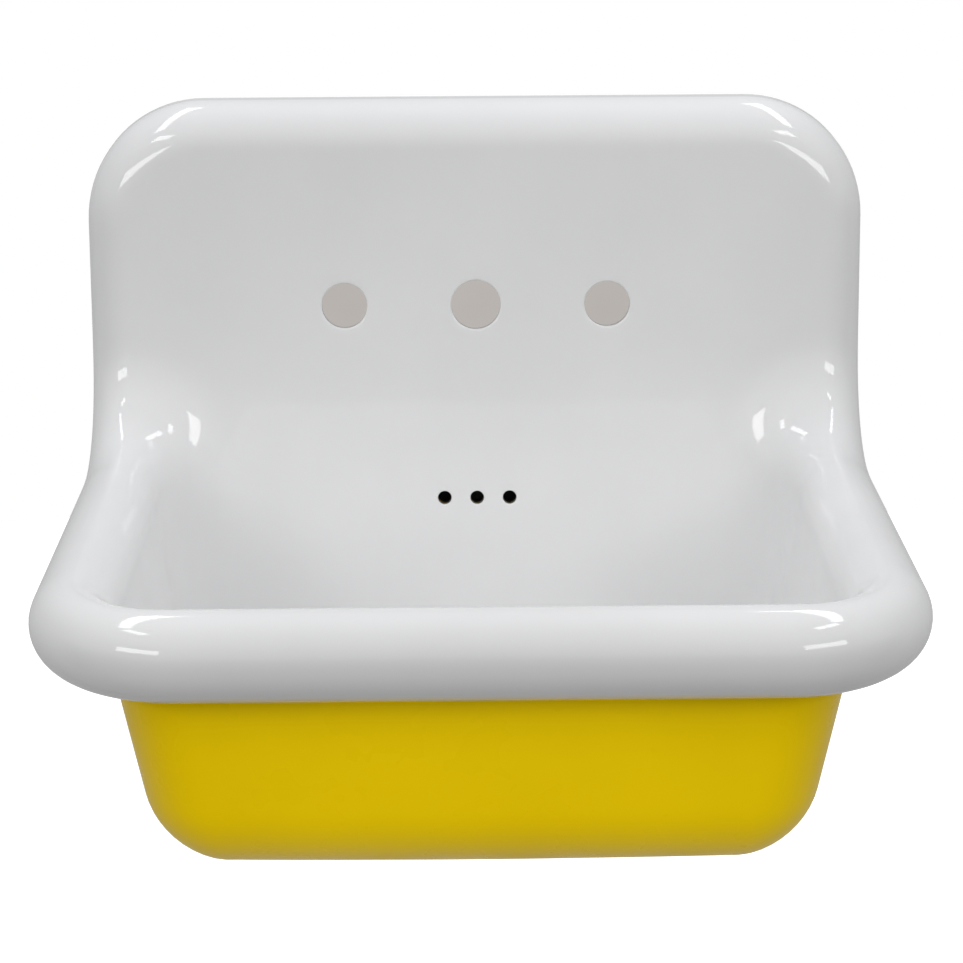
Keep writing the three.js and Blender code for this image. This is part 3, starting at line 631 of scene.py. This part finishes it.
def enamel(name, low, high, roughness, ior, ground=None, shine=(1, 1, 1)):
    """Fused glass: a faint drift in tint, a slow ripple and a fine orange peel. Shine tints its reflections.
    With a ground colour, the coat is dusted over it and gives way to it above the rim, where the back is left
    as first fired."""
    made, nodes, links, shader = material(name)
    spot = mapped(nodes, links)
    tint = ramp(nodes, links, noise(nodes, links, spot, TINT_SCALE, 3), [(0.35, low), (0.65, high)])
    gloss = ramp(nodes, links, noise(nodes, links, spot, GLOSS_SCALE, 3),
                 [(0.3, grey(roughness)), (0.7, grey(roughness * 1.7))])
    if ground:
        split = nodes.new("ShaderNodeSeparateXYZ")
        links.new(spot, split.inputs["Vector"])
        edge = nodes.new("ShaderNodeMath")
        edge.operation = "MULTIPLY_ADD"
        edge.inputs[1].default_value = OVERSPRAY
        links.new(noise(nodes, links, spot, SPRAY_SCALE, 4, 0.7), edge.inputs[0])
        links.new(split.outputs["Z"], edge.inputs[2])
        bare = nodes.new("ShaderNodeMapRange")
        bare.interpolation_type = "SMOOTHSTEP"
        bare.inputs["From Min"].default_value = COAT_TOP_Z * MM + OVERSPRAY / 4
        bare.inputs["From Max"].default_value = COAT_TOP_Z * MM + OVERSPRAY * 3 / 4
        links.new(edge.outputs["Value"], bare.inputs["Value"])
        first_fired = ramp(nodes, links, noise(nodes, links, spot, GROUND_SCALE, 5, 0.65),
                           [(0.3, ground[0]), (0.7, ground[1])])
        tint = blended(nodes, links, bare.outputs["Result"], tint, first_fired)
        rough = ramp(nodes, links, noise(nodes, links, spot, GROUND_GLOSS_SCALE, 3),
                     [(0.3, grey(0.22)), (0.7, grey(0.4))])
        gloss = blended(nodes, links, bare.outputs["Result"], gloss, rough)
    links.new(tint, shader.inputs["Base Color"])
    links.new(gloss, shader.inputs["Roughness"])
    ripple = bump(nodes, links, noise(nodes, links, spot, RIPPLE_SCALE, 1), 0.25, RIPPLE_DEPTH)
    peel = bump(nodes, links, noise(nodes, links, spot, PEEL_SCALE, 2), 0.08, PEEL_DEPTH, ripple)
    links.new(peel, shader.inputs["Normal"])
    shader.inputs["IOR"].default_value = ior
    shader.inputs["Specular Tint"].default_value = (*shine, 1)
    return made


def blended(nodes, links, share, first, second):
    node = nodes.new("ShaderNodeMix")
    node.data_type = "RGBA"
    links.new(share, node.inputs["Factor"])
    links.new(first, node.inputs["A"])
    links.new(second, node.inputs["B"])
    return node.outputs["Result"]


def finish_look(name, low, high, gloss, metallic, drift, grain, depth, stretch=(1, 1, 1)):
    """A finish whose colour and gloss drift between two values, with a grain of a depth in metres."""
    made, nodes, links, shader = material(name)
    spot = mapped(nodes, links, stretch)
    links.new(ramp(nodes, links, noise(nodes, links, spot, drift, 5, 0.6), [(0.35, low), (0.65, high)]),
              shader.inputs["Base Color"])
    links.new(ramp(nodes, links, noise(nodes, links, spot, drift * 3, 4, 0.6),
                   [(0.3, grey(gloss[0])), (0.7, grey(gloss[1]))]), shader.inputs["Roughness"])
    links.new(bump(nodes, links, noise(nodes, links, spot, grain, 4, 0.6), 0.6, depth),
              shader.inputs["Normal"])
    shader.inputs["Metallic"].default_value = metallic
    return made


GROUND_COAT = ((0.018, 0.02, 0.026), (0.042, 0.045, 0.052))
WHITE = enamel("white_enamel", (0.805, 0.805, 0.805), (0.835, 0.835, 0.835), 0.035, 1.5)
YELLOW = enamel("yellow_enamel", (0.83, 0.571, 0.0007), (0.86, 0.597, 0.0009), 0.22, 1.3, GROUND_COAT,
                shine=(1, 0.75, 0.02))
IRON = finish_look("bare_iron", (0.022, 0.023, 0.026), (0.055, 0.055, 0.057), (0.5, 0.75), 0.0, 40, 650,
                   0.0006)
ZINC = finish_look("zinc_steel", (0.46, 0.48, 0.49), (0.66, 0.68, 0.69), (0.28, 0.5), 1.0, 60, 900, 0.00008)
CHROME = finish_look("chrome_plate", (0.80, 0.81, 0.82), (0.87, 0.87, 0.87), (0.04, 0.11), 1.0, 30, 500,
                     0.00001)
BRASS = finish_look("raw_brass", (0.58, 0.38, 0.14), (0.74, 0.54, 0.25), (0.22, 0.38), 1.0, 50, 420, 0.00004,
                    (1, 1, 6))
RUBBER = finish_look("black_rubber", (0.012, 0.012, 0.013), (0.035, 0.034, 0.033), (0.6, 0.85), 0.0, 45, 1100,
                     0.00012)
FIBRE = finish_look("fibre", (0.20, 0.12, 0.055), (0.36, 0.24, 0.13), (0.75, 0.95), 0.0, 220, 1500, 0.0002,
                    (1, 1, 4))
PUTTY = finish_look("plumbers_putty", (0.55, 0.52, 0.44), (0.66, 0.63, 0.56), (0.7, 0.9), 0.0, 80, 500,
                    0.0004)


def finish_piece(piece, body, slot, look, *nodes):
    piece.data.materials.clear()
    piece.data.materials.append(look)
    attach(piece, body)
    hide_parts(*nodes)


# ------------------------------------------------------------------ the casting
def make_casting():
    points, normals = show_grid()
    casting = new_object("casting_white_enamel", *shell(points, normals, 0, WALL - COAT))
    cut(casting, casting_tools())
    finish_piece(casting, "sink", "white_enamel", WHITE, "sink_casting")
    coat = new_object("casting_yellow_enamel", *shell(points, normals, WALL - COAT, WALL))
    cut(coat, casting_tools())
    finish_piece(coat, "sink", "yellow_enamel", YELLOW, "sink_casting")


PAD_HALF_WIDTH = 56
PAD_HALF_HEIGHT = 20
PAD_BACK = WALL + 6  # depth of the pad's machined face
BOSS_R = 46
BOSS_Z = FLOOR_Z - 12  # machined underside of the drain boss
BOSS_FILLET = 8
LUG_XS = (-130, 130)
LUG_HALF_WIDTH = 30
LUG_TOP = 26
LUG_WEB_BOTTOM = 14
TONGUE_FRONT = -22  # the lug's tongue hangs behind the hook's lip
TONGUE_BACK = -8
TONGUE_LOW = -8 + GAP  # rests on the hook's seat


def behind_plate(height, depth):
    """[y, z] of a point up the plate from the overflow holes and behind its show face."""
    return (plate_front(OVERFLOW_Z) + height * math.sin(LEAN) + depth * math.cos(LEAN),
            OVERFLOW_Z + height * math.cos(LEAN) - depth * math.sin(LEAN))


def make_casting_fittings():
    """The boss round the drain, the pad behind the overflow holes and the lugs that hang on the hooks."""
    foot = FLOOR_Z - WALL + 2
    ring = soft([(DRAIN_HOLE_R, BOSS_Z), (BOSS_R, BOSS_Z), (BOSS_R, foot - 4), (BOSS_R + BOSS_FILLET, foot),
                 (DRAIN_HOLE_R, foot)], 2)
    boss = turned("casting_drain_boss", ring, (0, DRAIN_Y))
    finish_piece(boss, "sink", "yellow_enamel", YELLOW, "sink_casting")
    slab = [behind_plate(h, d) for h, d in ((-PAD_HALF_HEIGHT, WALL - 1), (-PAD_HALF_HEIGHT, PAD_BACK),
                                            (PAD_HALF_HEIGHT, PAD_BACK), (PAD_HALF_HEIGHT, WALL - 1))]
    pad = prism("casting_overflow_pad", slab, -PAD_HALF_WIDTH, PAD_HALF_WIDTH)
    ease_edges(pad, 1.5)
    cut(pad, overflow_tools())
    finish_piece(pad, "sink", "bare_iron", IRON, "sink_casting")
    in_plate = plate_front(LUG_TOP) + WALL / 2
    profile = [(in_plate, LUG_WEB_BOTTOM), (TONGUE_FRONT, LUG_WEB_BOTTOM), (TONGUE_FRONT, TONGUE_LOW),
               (TONGUE_BACK, TONGUE_LOW), (TONGUE_BACK, LUG_TOP), (in_plate, LUG_TOP)]
    for side, x in zip(("left", "right"), LUG_XS):
        lug = prism(f"casting_lug_{side}", profile, x - LUG_HALF_WIDTH, x + LUG_HALF_WIDTH)
        ease_edges(lug, 2.5)
        finish_piece(lug, "sink", "bare_iron", IRON, "sink_casting")


# ------------------------------------------------------------------ hanger, overflow and drain fittings
def span(node):
    """Outer radius, bottom and top of a round CAD node about the drain's axis, in millimetres."""
    low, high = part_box(node)
    return (high.x - low.x) / 2 / MM, low.z / MM, high.z / MM


def make_ring(node, name, inner, edge, body, slot, look):
    outer, low, high = span(node)
    profile = soft([(inner, low), (outer, low), (outer, high), (inner, high)], edge)
    finish_piece(turned(name, profile, (0, DRAIN_Y)), body, slot, look, node)


THREAD_PITCH = 2.3
THREAD_DEPTH = 1.1
# depth below the crest and height up one turn
THREAD_FORM = ((THREAD_DEPTH, 0.25), (0, 1.0), (0, 1.4), (THREAD_DEPTH, 2.15))
BODY_R = 20
BORE_R = 17
SEAT_R = 22  # top of the stopper's conical seat, which narrows to the bore over its depth
SEAT_DEPTH = 5.9
FLANGE_THICK = 2.6
SHOULDER_R = DRAIN_HOLE_R - GAP
SHOULDER_Z = FLOOR_Z - 8
SLOT_Z = (FLOOR_Z - 27, FLOOR_Z - 18.5)
SLOT_HALF = 6
CHAMFER = 0.8
FINE_SEGMENTS = 128


def thread(radius, low, high):
    """Crests and roots of a thread from low to high."""
    turns = int((high - low) / THREAD_PITCH)
    return [(radius - depth, low + i * THREAD_PITCH + up) for i in range(turns) for depth, up in THREAD_FORM]


def make_drain_body():
    flange, low, top = span("drain_body")
    under = top - FLANGE_THICK
    rim = soft([(SHOULDER_R, under), (flange, under), (flange, top - 1), (flange - 1.6, top), (SEAT_R, top),
                (BORE_R, top - SEAT_DEPTH)], 0.7, closed=False)
    profile = [(BORE_R, low + CHAMFER), (BORE_R + CHAMFER, low), (BODY_R - THREAD_DEPTH, low),
               *thread(BODY_R, low + 0.5, SHOULDER_Z - 1), (BODY_R, SHOULDER_Z - 0.6), (BODY_R, SHOULDER_Z),
               (SHOULDER_R, SHOULDER_Z), *rim]
    body = turned("drain_flange_and_body", profile, (0, DRAIN_Y), FINE_SEGMENTS)
    for half_x, half_y in ((flange, SLOT_HALF), (SLOT_HALF, flange)):
        outline = [(DRAIN_Y - half_y, SLOT_Z[0]), (DRAIN_Y + half_y, SLOT_Z[0]),
                   (DRAIN_Y + half_y, SLOT_Z[1]), (DRAIN_Y - half_y, SLOT_Z[1])]
        cut(body, [prism("slot_tool", outline, -half_x, half_x)])
    keep_flats(body)
    finish_piece(body, "sink", "chrome_plate", CHROME, "drain_body")


NUT_R = 30  # at its corners
THREADED_BORE = BODY_R + GAP
CORNER_CUT = 0.86  # radius of a nut's flat end, over its radius at the corners


def make_locknut():
    _, low, high = span("drain_locknut")
    profile = [(THREADED_BORE, low + CHAMFER), (THREADED_BORE + CHAMFER, low), (NUT_R * CORNER_CUT, low),
               (NUT_R, low + 2), (NUT_R, high - 2), (NUT_R * CORNER_CUT, high),
               (THREADED_BORE + CHAMFER, high), (THREADED_BORE, high - CHAMFER)]
    nut = hexagon_nut("drain_locknut_turned", profile, NUT_R, THREADED_BORE + 1, (0, DRAIN_Y))
    keep_flats(nut)
    finish_piece(nut, "sink", "raw_brass", BRASS, "drain_locknut")


SCREW_X = 46
SCREW_R = 4
SCREW_HEAD_R = 7.2
SCREW_END_R = SCREW_HEAD_R * 0.84  # flat end of the head, inside its chamfer
SCREW_HEAD = (GAP, GAP + 5.5)
SCREW_SHANK = 16
GASKET_BACK = PAD_BACK + 2.6
DUCT_FLANGE = 5  # thickness of the duct's ears, which the heads press on
EAR_BACK = GASKET_BACK + GAP + DUCT_FLANGE


def make_overflow_screws():
    low, high = SCREW_HEAD
    for side, x in (("left", -SCREW_X), ("right", SCREW_X)):
        profile = [(0, -SCREW_SHANK), (SCREW_R - 1, -SCREW_SHANK),
                   *thread(SCREW_R, -SCREW_SHANK + 0.5, low - 1), (SCREW_R, low), (SCREW_END_R, low),
                   (SCREW_HEAD_R, low + 0.8), (SCREW_HEAD_R, high - 1.2), (SCREW_END_R, high), (0, high)]
        screw = hexagon_nut(f"overflow_bolt_{side}", profile, SCREW_HEAD_R, SCREW_R + 1)
        against_plate(screw, x, OVERFLOW_Z, EAR_BACK, backwards=True)
        keep_flats(screw)
        finish_piece(screw, "sink", "zinc_steel", ZINC, f"overflow_screw_{side}")


def make_fittings():
    for node, name, radius, body, slot, look in (
            ("wall_hanger", "hanger_plate", 1.2, "hanger", "zinc_steel", ZINC),
            ("overflow_duct", "overflow_duct_cast", 1.4, "sink", "bare_iron", IRON),
            ("overflow_gasket", "overflow_gasket_sheet", 0.4, "sink", "black_rubber", RUBBER),
            ("stem_guide", "stem_guide_spider", 0.4, "sink", "raw_brass", BRASS)):
        finish_piece(eased_copy(node, name, radius), body, slot, look, node)
    for node, inner, edge, body, slot, look in (
            ("flange_seal", 23, 0.4, "sink", "plumbers_putty", PUTTY),
            ("collar_gasket", 22, 0.5, "sink", "black_rubber", RUBBER),
            ("body_gasket", THREADED_BORE, 0.8, "sink", "black_rubber", RUBBER),
            ("friction_washer", THREADED_BORE, 0.3, "sink", "fibre", FIBRE),
            ("stopper_clip", 3.1, 0.3, "stopper", "zinc_steel", ZINC)):
        make_ring(node, f"{node}_turned", inner, edge, body, slot, look)
    make_drain_body()
    make_locknut()
    make_overflow_screws()


# ------------------------------------------------------------------ stopper
DOME_STEPS = 20
CAP_UNDER = FLOOR_Z - 1.8
CAP_EDGE = 1  # height of the cap's upright edge
CAP_BOSS_R = 12
CAP_BORE_R = 2.8
SEAL_BORE_R = CAP_BOSS_R + GAP
SEAL_TAPER = (SEAT_R - BORE_R) / SEAT_DEPTH  # as the seat narrows, for each millimetre down
STEM_R = 3.8
GROOVE_R = 2.8
GROOVE_Z = (FLOOR_Z - 29, FLOOR_Z - 27)
SPIGOT_R = 2.5
SPIGOT_LOW = FLOOR_Z - 5.7
KNOB_FOOT_R = 5
KNOB_NECK_R = 3.5
KNOB_R = 7


def make_cap(place):
    radius, low, top = span("stopper_cap")
    edge_top = CAP_UNDER + CAP_EDGE
    dome = [(radius * math.cos(a), edge_top + (top - edge_top) * math.sin(a))
            for a in np.linspace(0, math.acos(CAP_BORE_R / radius), DOME_STEPS)]
    boss = soft([(CAP_BORE_R, low), (CAP_BOSS_R, low), (CAP_BOSS_R, CAP_UNDER), (radius, CAP_UNDER), dome[0]],
                0.4, closed=False)
    cap = turned("stopper_cap_domed", [*boss, *dome[1:]], place, FINE_SEGMENTS)
    finish_piece(cap, "stopper", "chrome_plate", CHROME, "stopper_cap")


def make_stopper():
    place = (0, DRAIN_Y)
    make_cap(place)
    _, low, top = span("stopper_knob")
    grip = soft([(0, low), (KNOB_FOOT_R, low), (KNOB_NECK_R, low + 3), (KNOB_NECK_R, top - 8),
                 (KNOB_R, top - 5), (KNOB_R, top - 1.8), (4.6, top), (0, top)], 1.6, closed=False, steps=6)
    knob = turned("stopper_knob_turned", grip, place, 64)
    finish_piece(knob, "stopper", "chrome_plate", CHROME, "stopper_knob")
    outer, low, high = span("stopper_seal")
    lip = outer - (high - low) * SEAL_TAPER
    seal = turned("stopper_seal_turned",
                  soft([(SEAL_BORE_R, low), (lip, low), (outer, high), (SEAL_BORE_R, high)], 0.4), place)
    finish_piece(seal, "stopper", "black_rubber", RUBBER, "stopper_seal")
    _, low, high = span("stopper_stem")
    rod = soft([(0, low), (STEM_R, low), (STEM_R, GROOVE_Z[0]), (GROOVE_R, GROOVE_Z[0]),
                (GROOVE_R, GROOVE_Z[1]), (STEM_R, GROOVE_Z[1]), (STEM_R, SPIGOT_LOW), (SPIGOT_R, SPIGOT_LOW),
                (SPIGOT_R, high), (0, high)], 0.4, closed=False)
    stem = turned("stopper_stem_turned", rod, place, 48)
    finish_piece(stem, "stopper", "raw_brass", BRASS, "stopper_stem")


make_casting()
make_casting_fittings()
make_fittings()
make_stopper()

# ------------------------------------------------------------------ floor, light and camera
CAMERA_TARGET = Vector((0.002709, -0.165, -0.18999))
CAMERA_DISTANCE = 2.02233
CAMERA_AZIMUTH = math.radians(0.4553)
CAMERA_ELEVATION = math.radians(17.0)
CAMERA_ROLL = math.radians(-0.3515)
CAMERA_LENS = 101.05


def make_camera():
    ahead = Vector((math.sin(CAMERA_AZIMUTH) * math.cos(CAMERA_ELEVATION),
                    math.cos(CAMERA_AZIMUTH) * math.cos(CAMERA_ELEVATION), -math.sin(CAMERA_ELEVATION)))
    right = Vector((math.cos(CAMERA_AZIMUTH), -math.sin(CAMERA_AZIMUTH), 0))
    up = right.cross(ahead)
    rolled_right = math.cos(CAMERA_ROLL) * right + math.sin(CAMERA_ROLL) * up
    rolled_up = math.cos(CAMERA_ROLL) * up - math.sin(CAMERA_ROLL) * right
    data = bpy.data.cameras.new("camera")
    data.lens = CAMERA_LENS
    data.sensor_width = 36
    data.clip_end = 50
    camera = bpy.data.objects.new("camera", data)
    bpy.context.scene.collection.objects.link(camera)
    turn = Matrix((rolled_right, rolled_up, -ahead)).transposed().to_4x4()
    camera.matrix_world = Matrix.Translation(CAMERA_TARGET - ahead * CAMERA_DISTANCE) @ turn
    bpy.context.scene.camera = camera


def area_light(name, place, aim, size, power, lit=None, colour=(1, 1, 1), spread=math.pi):
    """A rectangular light. With a lit piece, it falls on that piece only."""
    data = bpy.data.lights.new(name, "AREA")
    data.shape = "RECTANGLE"
    data.size, data.size_y = size
    data.energy = power
    data.color = colour
    data.spread = spread
    light = bpy.data.objects.new(name, data)
    light.location = place
    light.rotation_euler = (Vector(aim) - Vector(place)).to_track_quat("-Z", "Y").to_euler()
    bpy.context.scene.collection.objects.link(light)
    if lit:
        receivers = bpy.data.collections.new(f"{name}_receivers")
        receivers.objects.link(lit)
        light.light_linking.receiver_collection = receivers


FRONT_FILL = 0.6  # watts, on the yellow outside only
LOW_FILL = 0.54
FILL_SPREAD = math.radians(75)
DAYLIGHT = (0.96, 0.985, 1.04)


def make_lights():
    middle = (0, -0.25, -0.15)
    basin_front = (0, -0.4, -0.33)
    for side, name in ((-1, "left"), (1, "right")):
        area_light(f"overhead_{name}", (0.75 * side, 0.1, 1.4), middle, (1.4, 0.2), 5.6, colour=DAYLIGHT)
        area_light(f"lamp_{name}", (0.67 * side, -0.72, 0.78), middle, (0.3, 0.12), 0.72)
        area_light(f"softbox_{name}", (1.48 * side, -2.45, 0.85), middle, (1.4, 0.42), 10.4)
    outside = bpy.data.objects["casting_yellow_enamel"]
    area_light("front_fill", (0, -1.6, 0.75), basin_front, (0.7, 0.5), FRONT_FILL, outside,
               spread=FILL_SPREAD)
    area_light("low_fill", (0, -1.5, -0.85), basin_front, (0.7, 0.4), LOW_FILL, outside,
               spread=FILL_SPREAD)


# Brightness of the studio by height, from straight down at 0 to straight up at 1, before and behind the sink.
STUDIO_FRONT = [(0, 0.32), (0.2, 0.32), (0.3, 0.03), (0.4, 0.03), (0.46, 0.09), (0.51, 0.1), (0.6, 0.71),
                (0.86, 0.72), (0.94, 0.31), (1, 0.3)]
STUDIO_BACK = [(0, 0.47), (1, 0.47)]
TURN_OVER = 0.15  # half the width of the blend between the two


def grey_ramp(nodes, links, value, stops):
    return ramp(nodes, links, value, [(position, grey(tone)) for position, tone in stops])


def make_world():
    """A studio that is graded for the light it gives, and plain white to the camera."""
    world = bpy.data.worlds.new("studio")
    bpy.context.scene.world = world
    world.use_nodes = True
    nodes, links = world.node_tree.nodes, world.node_tree.links
    surround = nodes["Background"]
    heading = nodes.new("ShaderNodeTexCoord").outputs["Generated"]
    split = nodes.new("ShaderNodeSeparateXYZ")
    links.new(heading, split.inputs["Vector"])
    height = nodes.new("ShaderNodeMapRange")
    height.inputs["From Min"].default_value = -1
    links.new(split.outputs["Z"], height.inputs["Value"])
    behind = nodes.new("ShaderNodeMapRange")
    behind.inputs["From Min"].default_value = -TURN_OVER
    behind.inputs["From Max"].default_value = TURN_OVER
    links.new(split.outputs["Y"], behind.inputs["Value"])
    glow = blended(nodes, links, behind.outputs["Result"],
                   grey_ramp(nodes, links, height.outputs["Result"], STUDIO_FRONT),
                   grey_ramp(nodes, links, height.outputs["Result"], STUDIO_BACK))
    links.new(glow, surround.inputs["Color"])
    backdrop = nodes.new("ShaderNodeBackground")
    backdrop.inputs["Color"].default_value = (1, 1, 1, 1)
    path = nodes.new("ShaderNodeLightPath")
    chosen = nodes.new("ShaderNodeMixShader")
    links.new(path.outputs["Is Camera Ray"], chosen.inputs["Fac"])
    links.new(surround.outputs["Background"], chosen.inputs[1])
    links.new(backdrop.outputs["Background"], chosen.inputs[2])
    links.new(chosen.outputs["Shader"], nodes["World Output"].inputs["Surface"])


FLOOR_LEVEL = -1100
FLOOR_RADIUS = 3.0  # in metres
FLOOR_Y = -300
FLOOR_TONES = [(0.3, (0.80, 0.80, 0.795)), (0.7, (0.83, 0.83, 0.825))]
# painted shade: the wall strip's grey is given off as glow and stands in for the shade that falls on the wall
# behind the faucet holes
PAINTED_WALL_SHADE = [(0.3, (0.47, 0.442, 0.421)), (0.7, (0.5, 0.47, 0.447))]
STRIP_OVER = 32  # the painted-shade strip past the outer faucet holes' centres
STRIP_Z = (FAUCET_Z - 90, FAUCET_Z + 45)
STRIP_Y = 1  # just behind the face of the wall


def finish_stage(piece, made, nodes, links, front, back):
    """A stage piece that shows to the camera alone and takes no part in the light."""
    sides = nodes.new("ShaderNodeMixShader")
    links.new(nodes.new("ShaderNodeNewGeometry").outputs["Backfacing"], sides.inputs["Fac"])
    links.new(front, sides.inputs[1])
    links.new(back, sides.inputs[2])
    links.new(sides.outputs["Shader"], nodes["Material Output"].inputs["Surface"])
    piece.data.materials.append(made)
    piece.visible_diffuse = piece.visible_glossy = piece.visible_shadow = False


def make_floor():
    """A round pale floor, lifted in tone so that only soft shade shows on it, and clear from below. Its faces
    look down, so its back is what shows from above."""
    rim = FLOOR_RADIUS / MM
    floor = turned("studio_floor", [(0, FLOOR_LEVEL), (rim, FLOOR_LEVEL)], (0, FLOOR_Y))
    made, nodes, links, shader = material("studio_floor")
    links.new(ramp(nodes, links, noise(nodes, links, mapped(nodes, links), 3, 3), FLOOR_TONES),
              shader.inputs["Base Color"])
    shader.inputs["Roughness"].default_value = 0.9
    shader.inputs["Emission Color"].default_value = (1, 1, 1, 1)
    shader.inputs["Emission Strength"].default_value = 0.8
    clear = nodes.new("ShaderNodeBsdfTransparent").outputs["BSDF"]
    finish_stage(floor, made, nodes, links, clear, shader.outputs["BSDF"])


def make_painted_wall_shade():
    """A glowing strip of painted shade that stands in for the wall's soft shade behind the faucet holes,
    clear from behind.
    """
    half = FAUCET_SPACING + STRIP_OVER
    low, high = STRIP_Z
    corners = [(-half, STRIP_Y, low), (half, STRIP_Y, low), (half, STRIP_Y, high), (-half, STRIP_Y, high)]
    strip = new_object("studio_painted_wall_shade", corners, [(0, 1, 2, 3)])
    if strip.data.polygons[0].normal.y > 0:
        strip.data.flip_normals()
    made, nodes, links, _ = material("studio_painted_wall_shade")
    # painted shade: a grey glow, not light falling on a wall
    glow = nodes.new("ShaderNodeEmission")
    links.new(ramp(nodes, links, noise(nodes, links, mapped(nodes, links), 12, 2), PAINTED_WALL_SHADE),
              glow.inputs["Color"])
    clear = nodes.new("ShaderNodeBsdfTransparent").outputs["BSDF"]
    finish_stage(strip, made, nodes, links, glow.outputs["Emission"], clear)


make_camera()
make_lights()
make_world()
make_floor()
make_painted_wall_shade()
bpy.context.scene.view_settings.view_transform = "Standard"
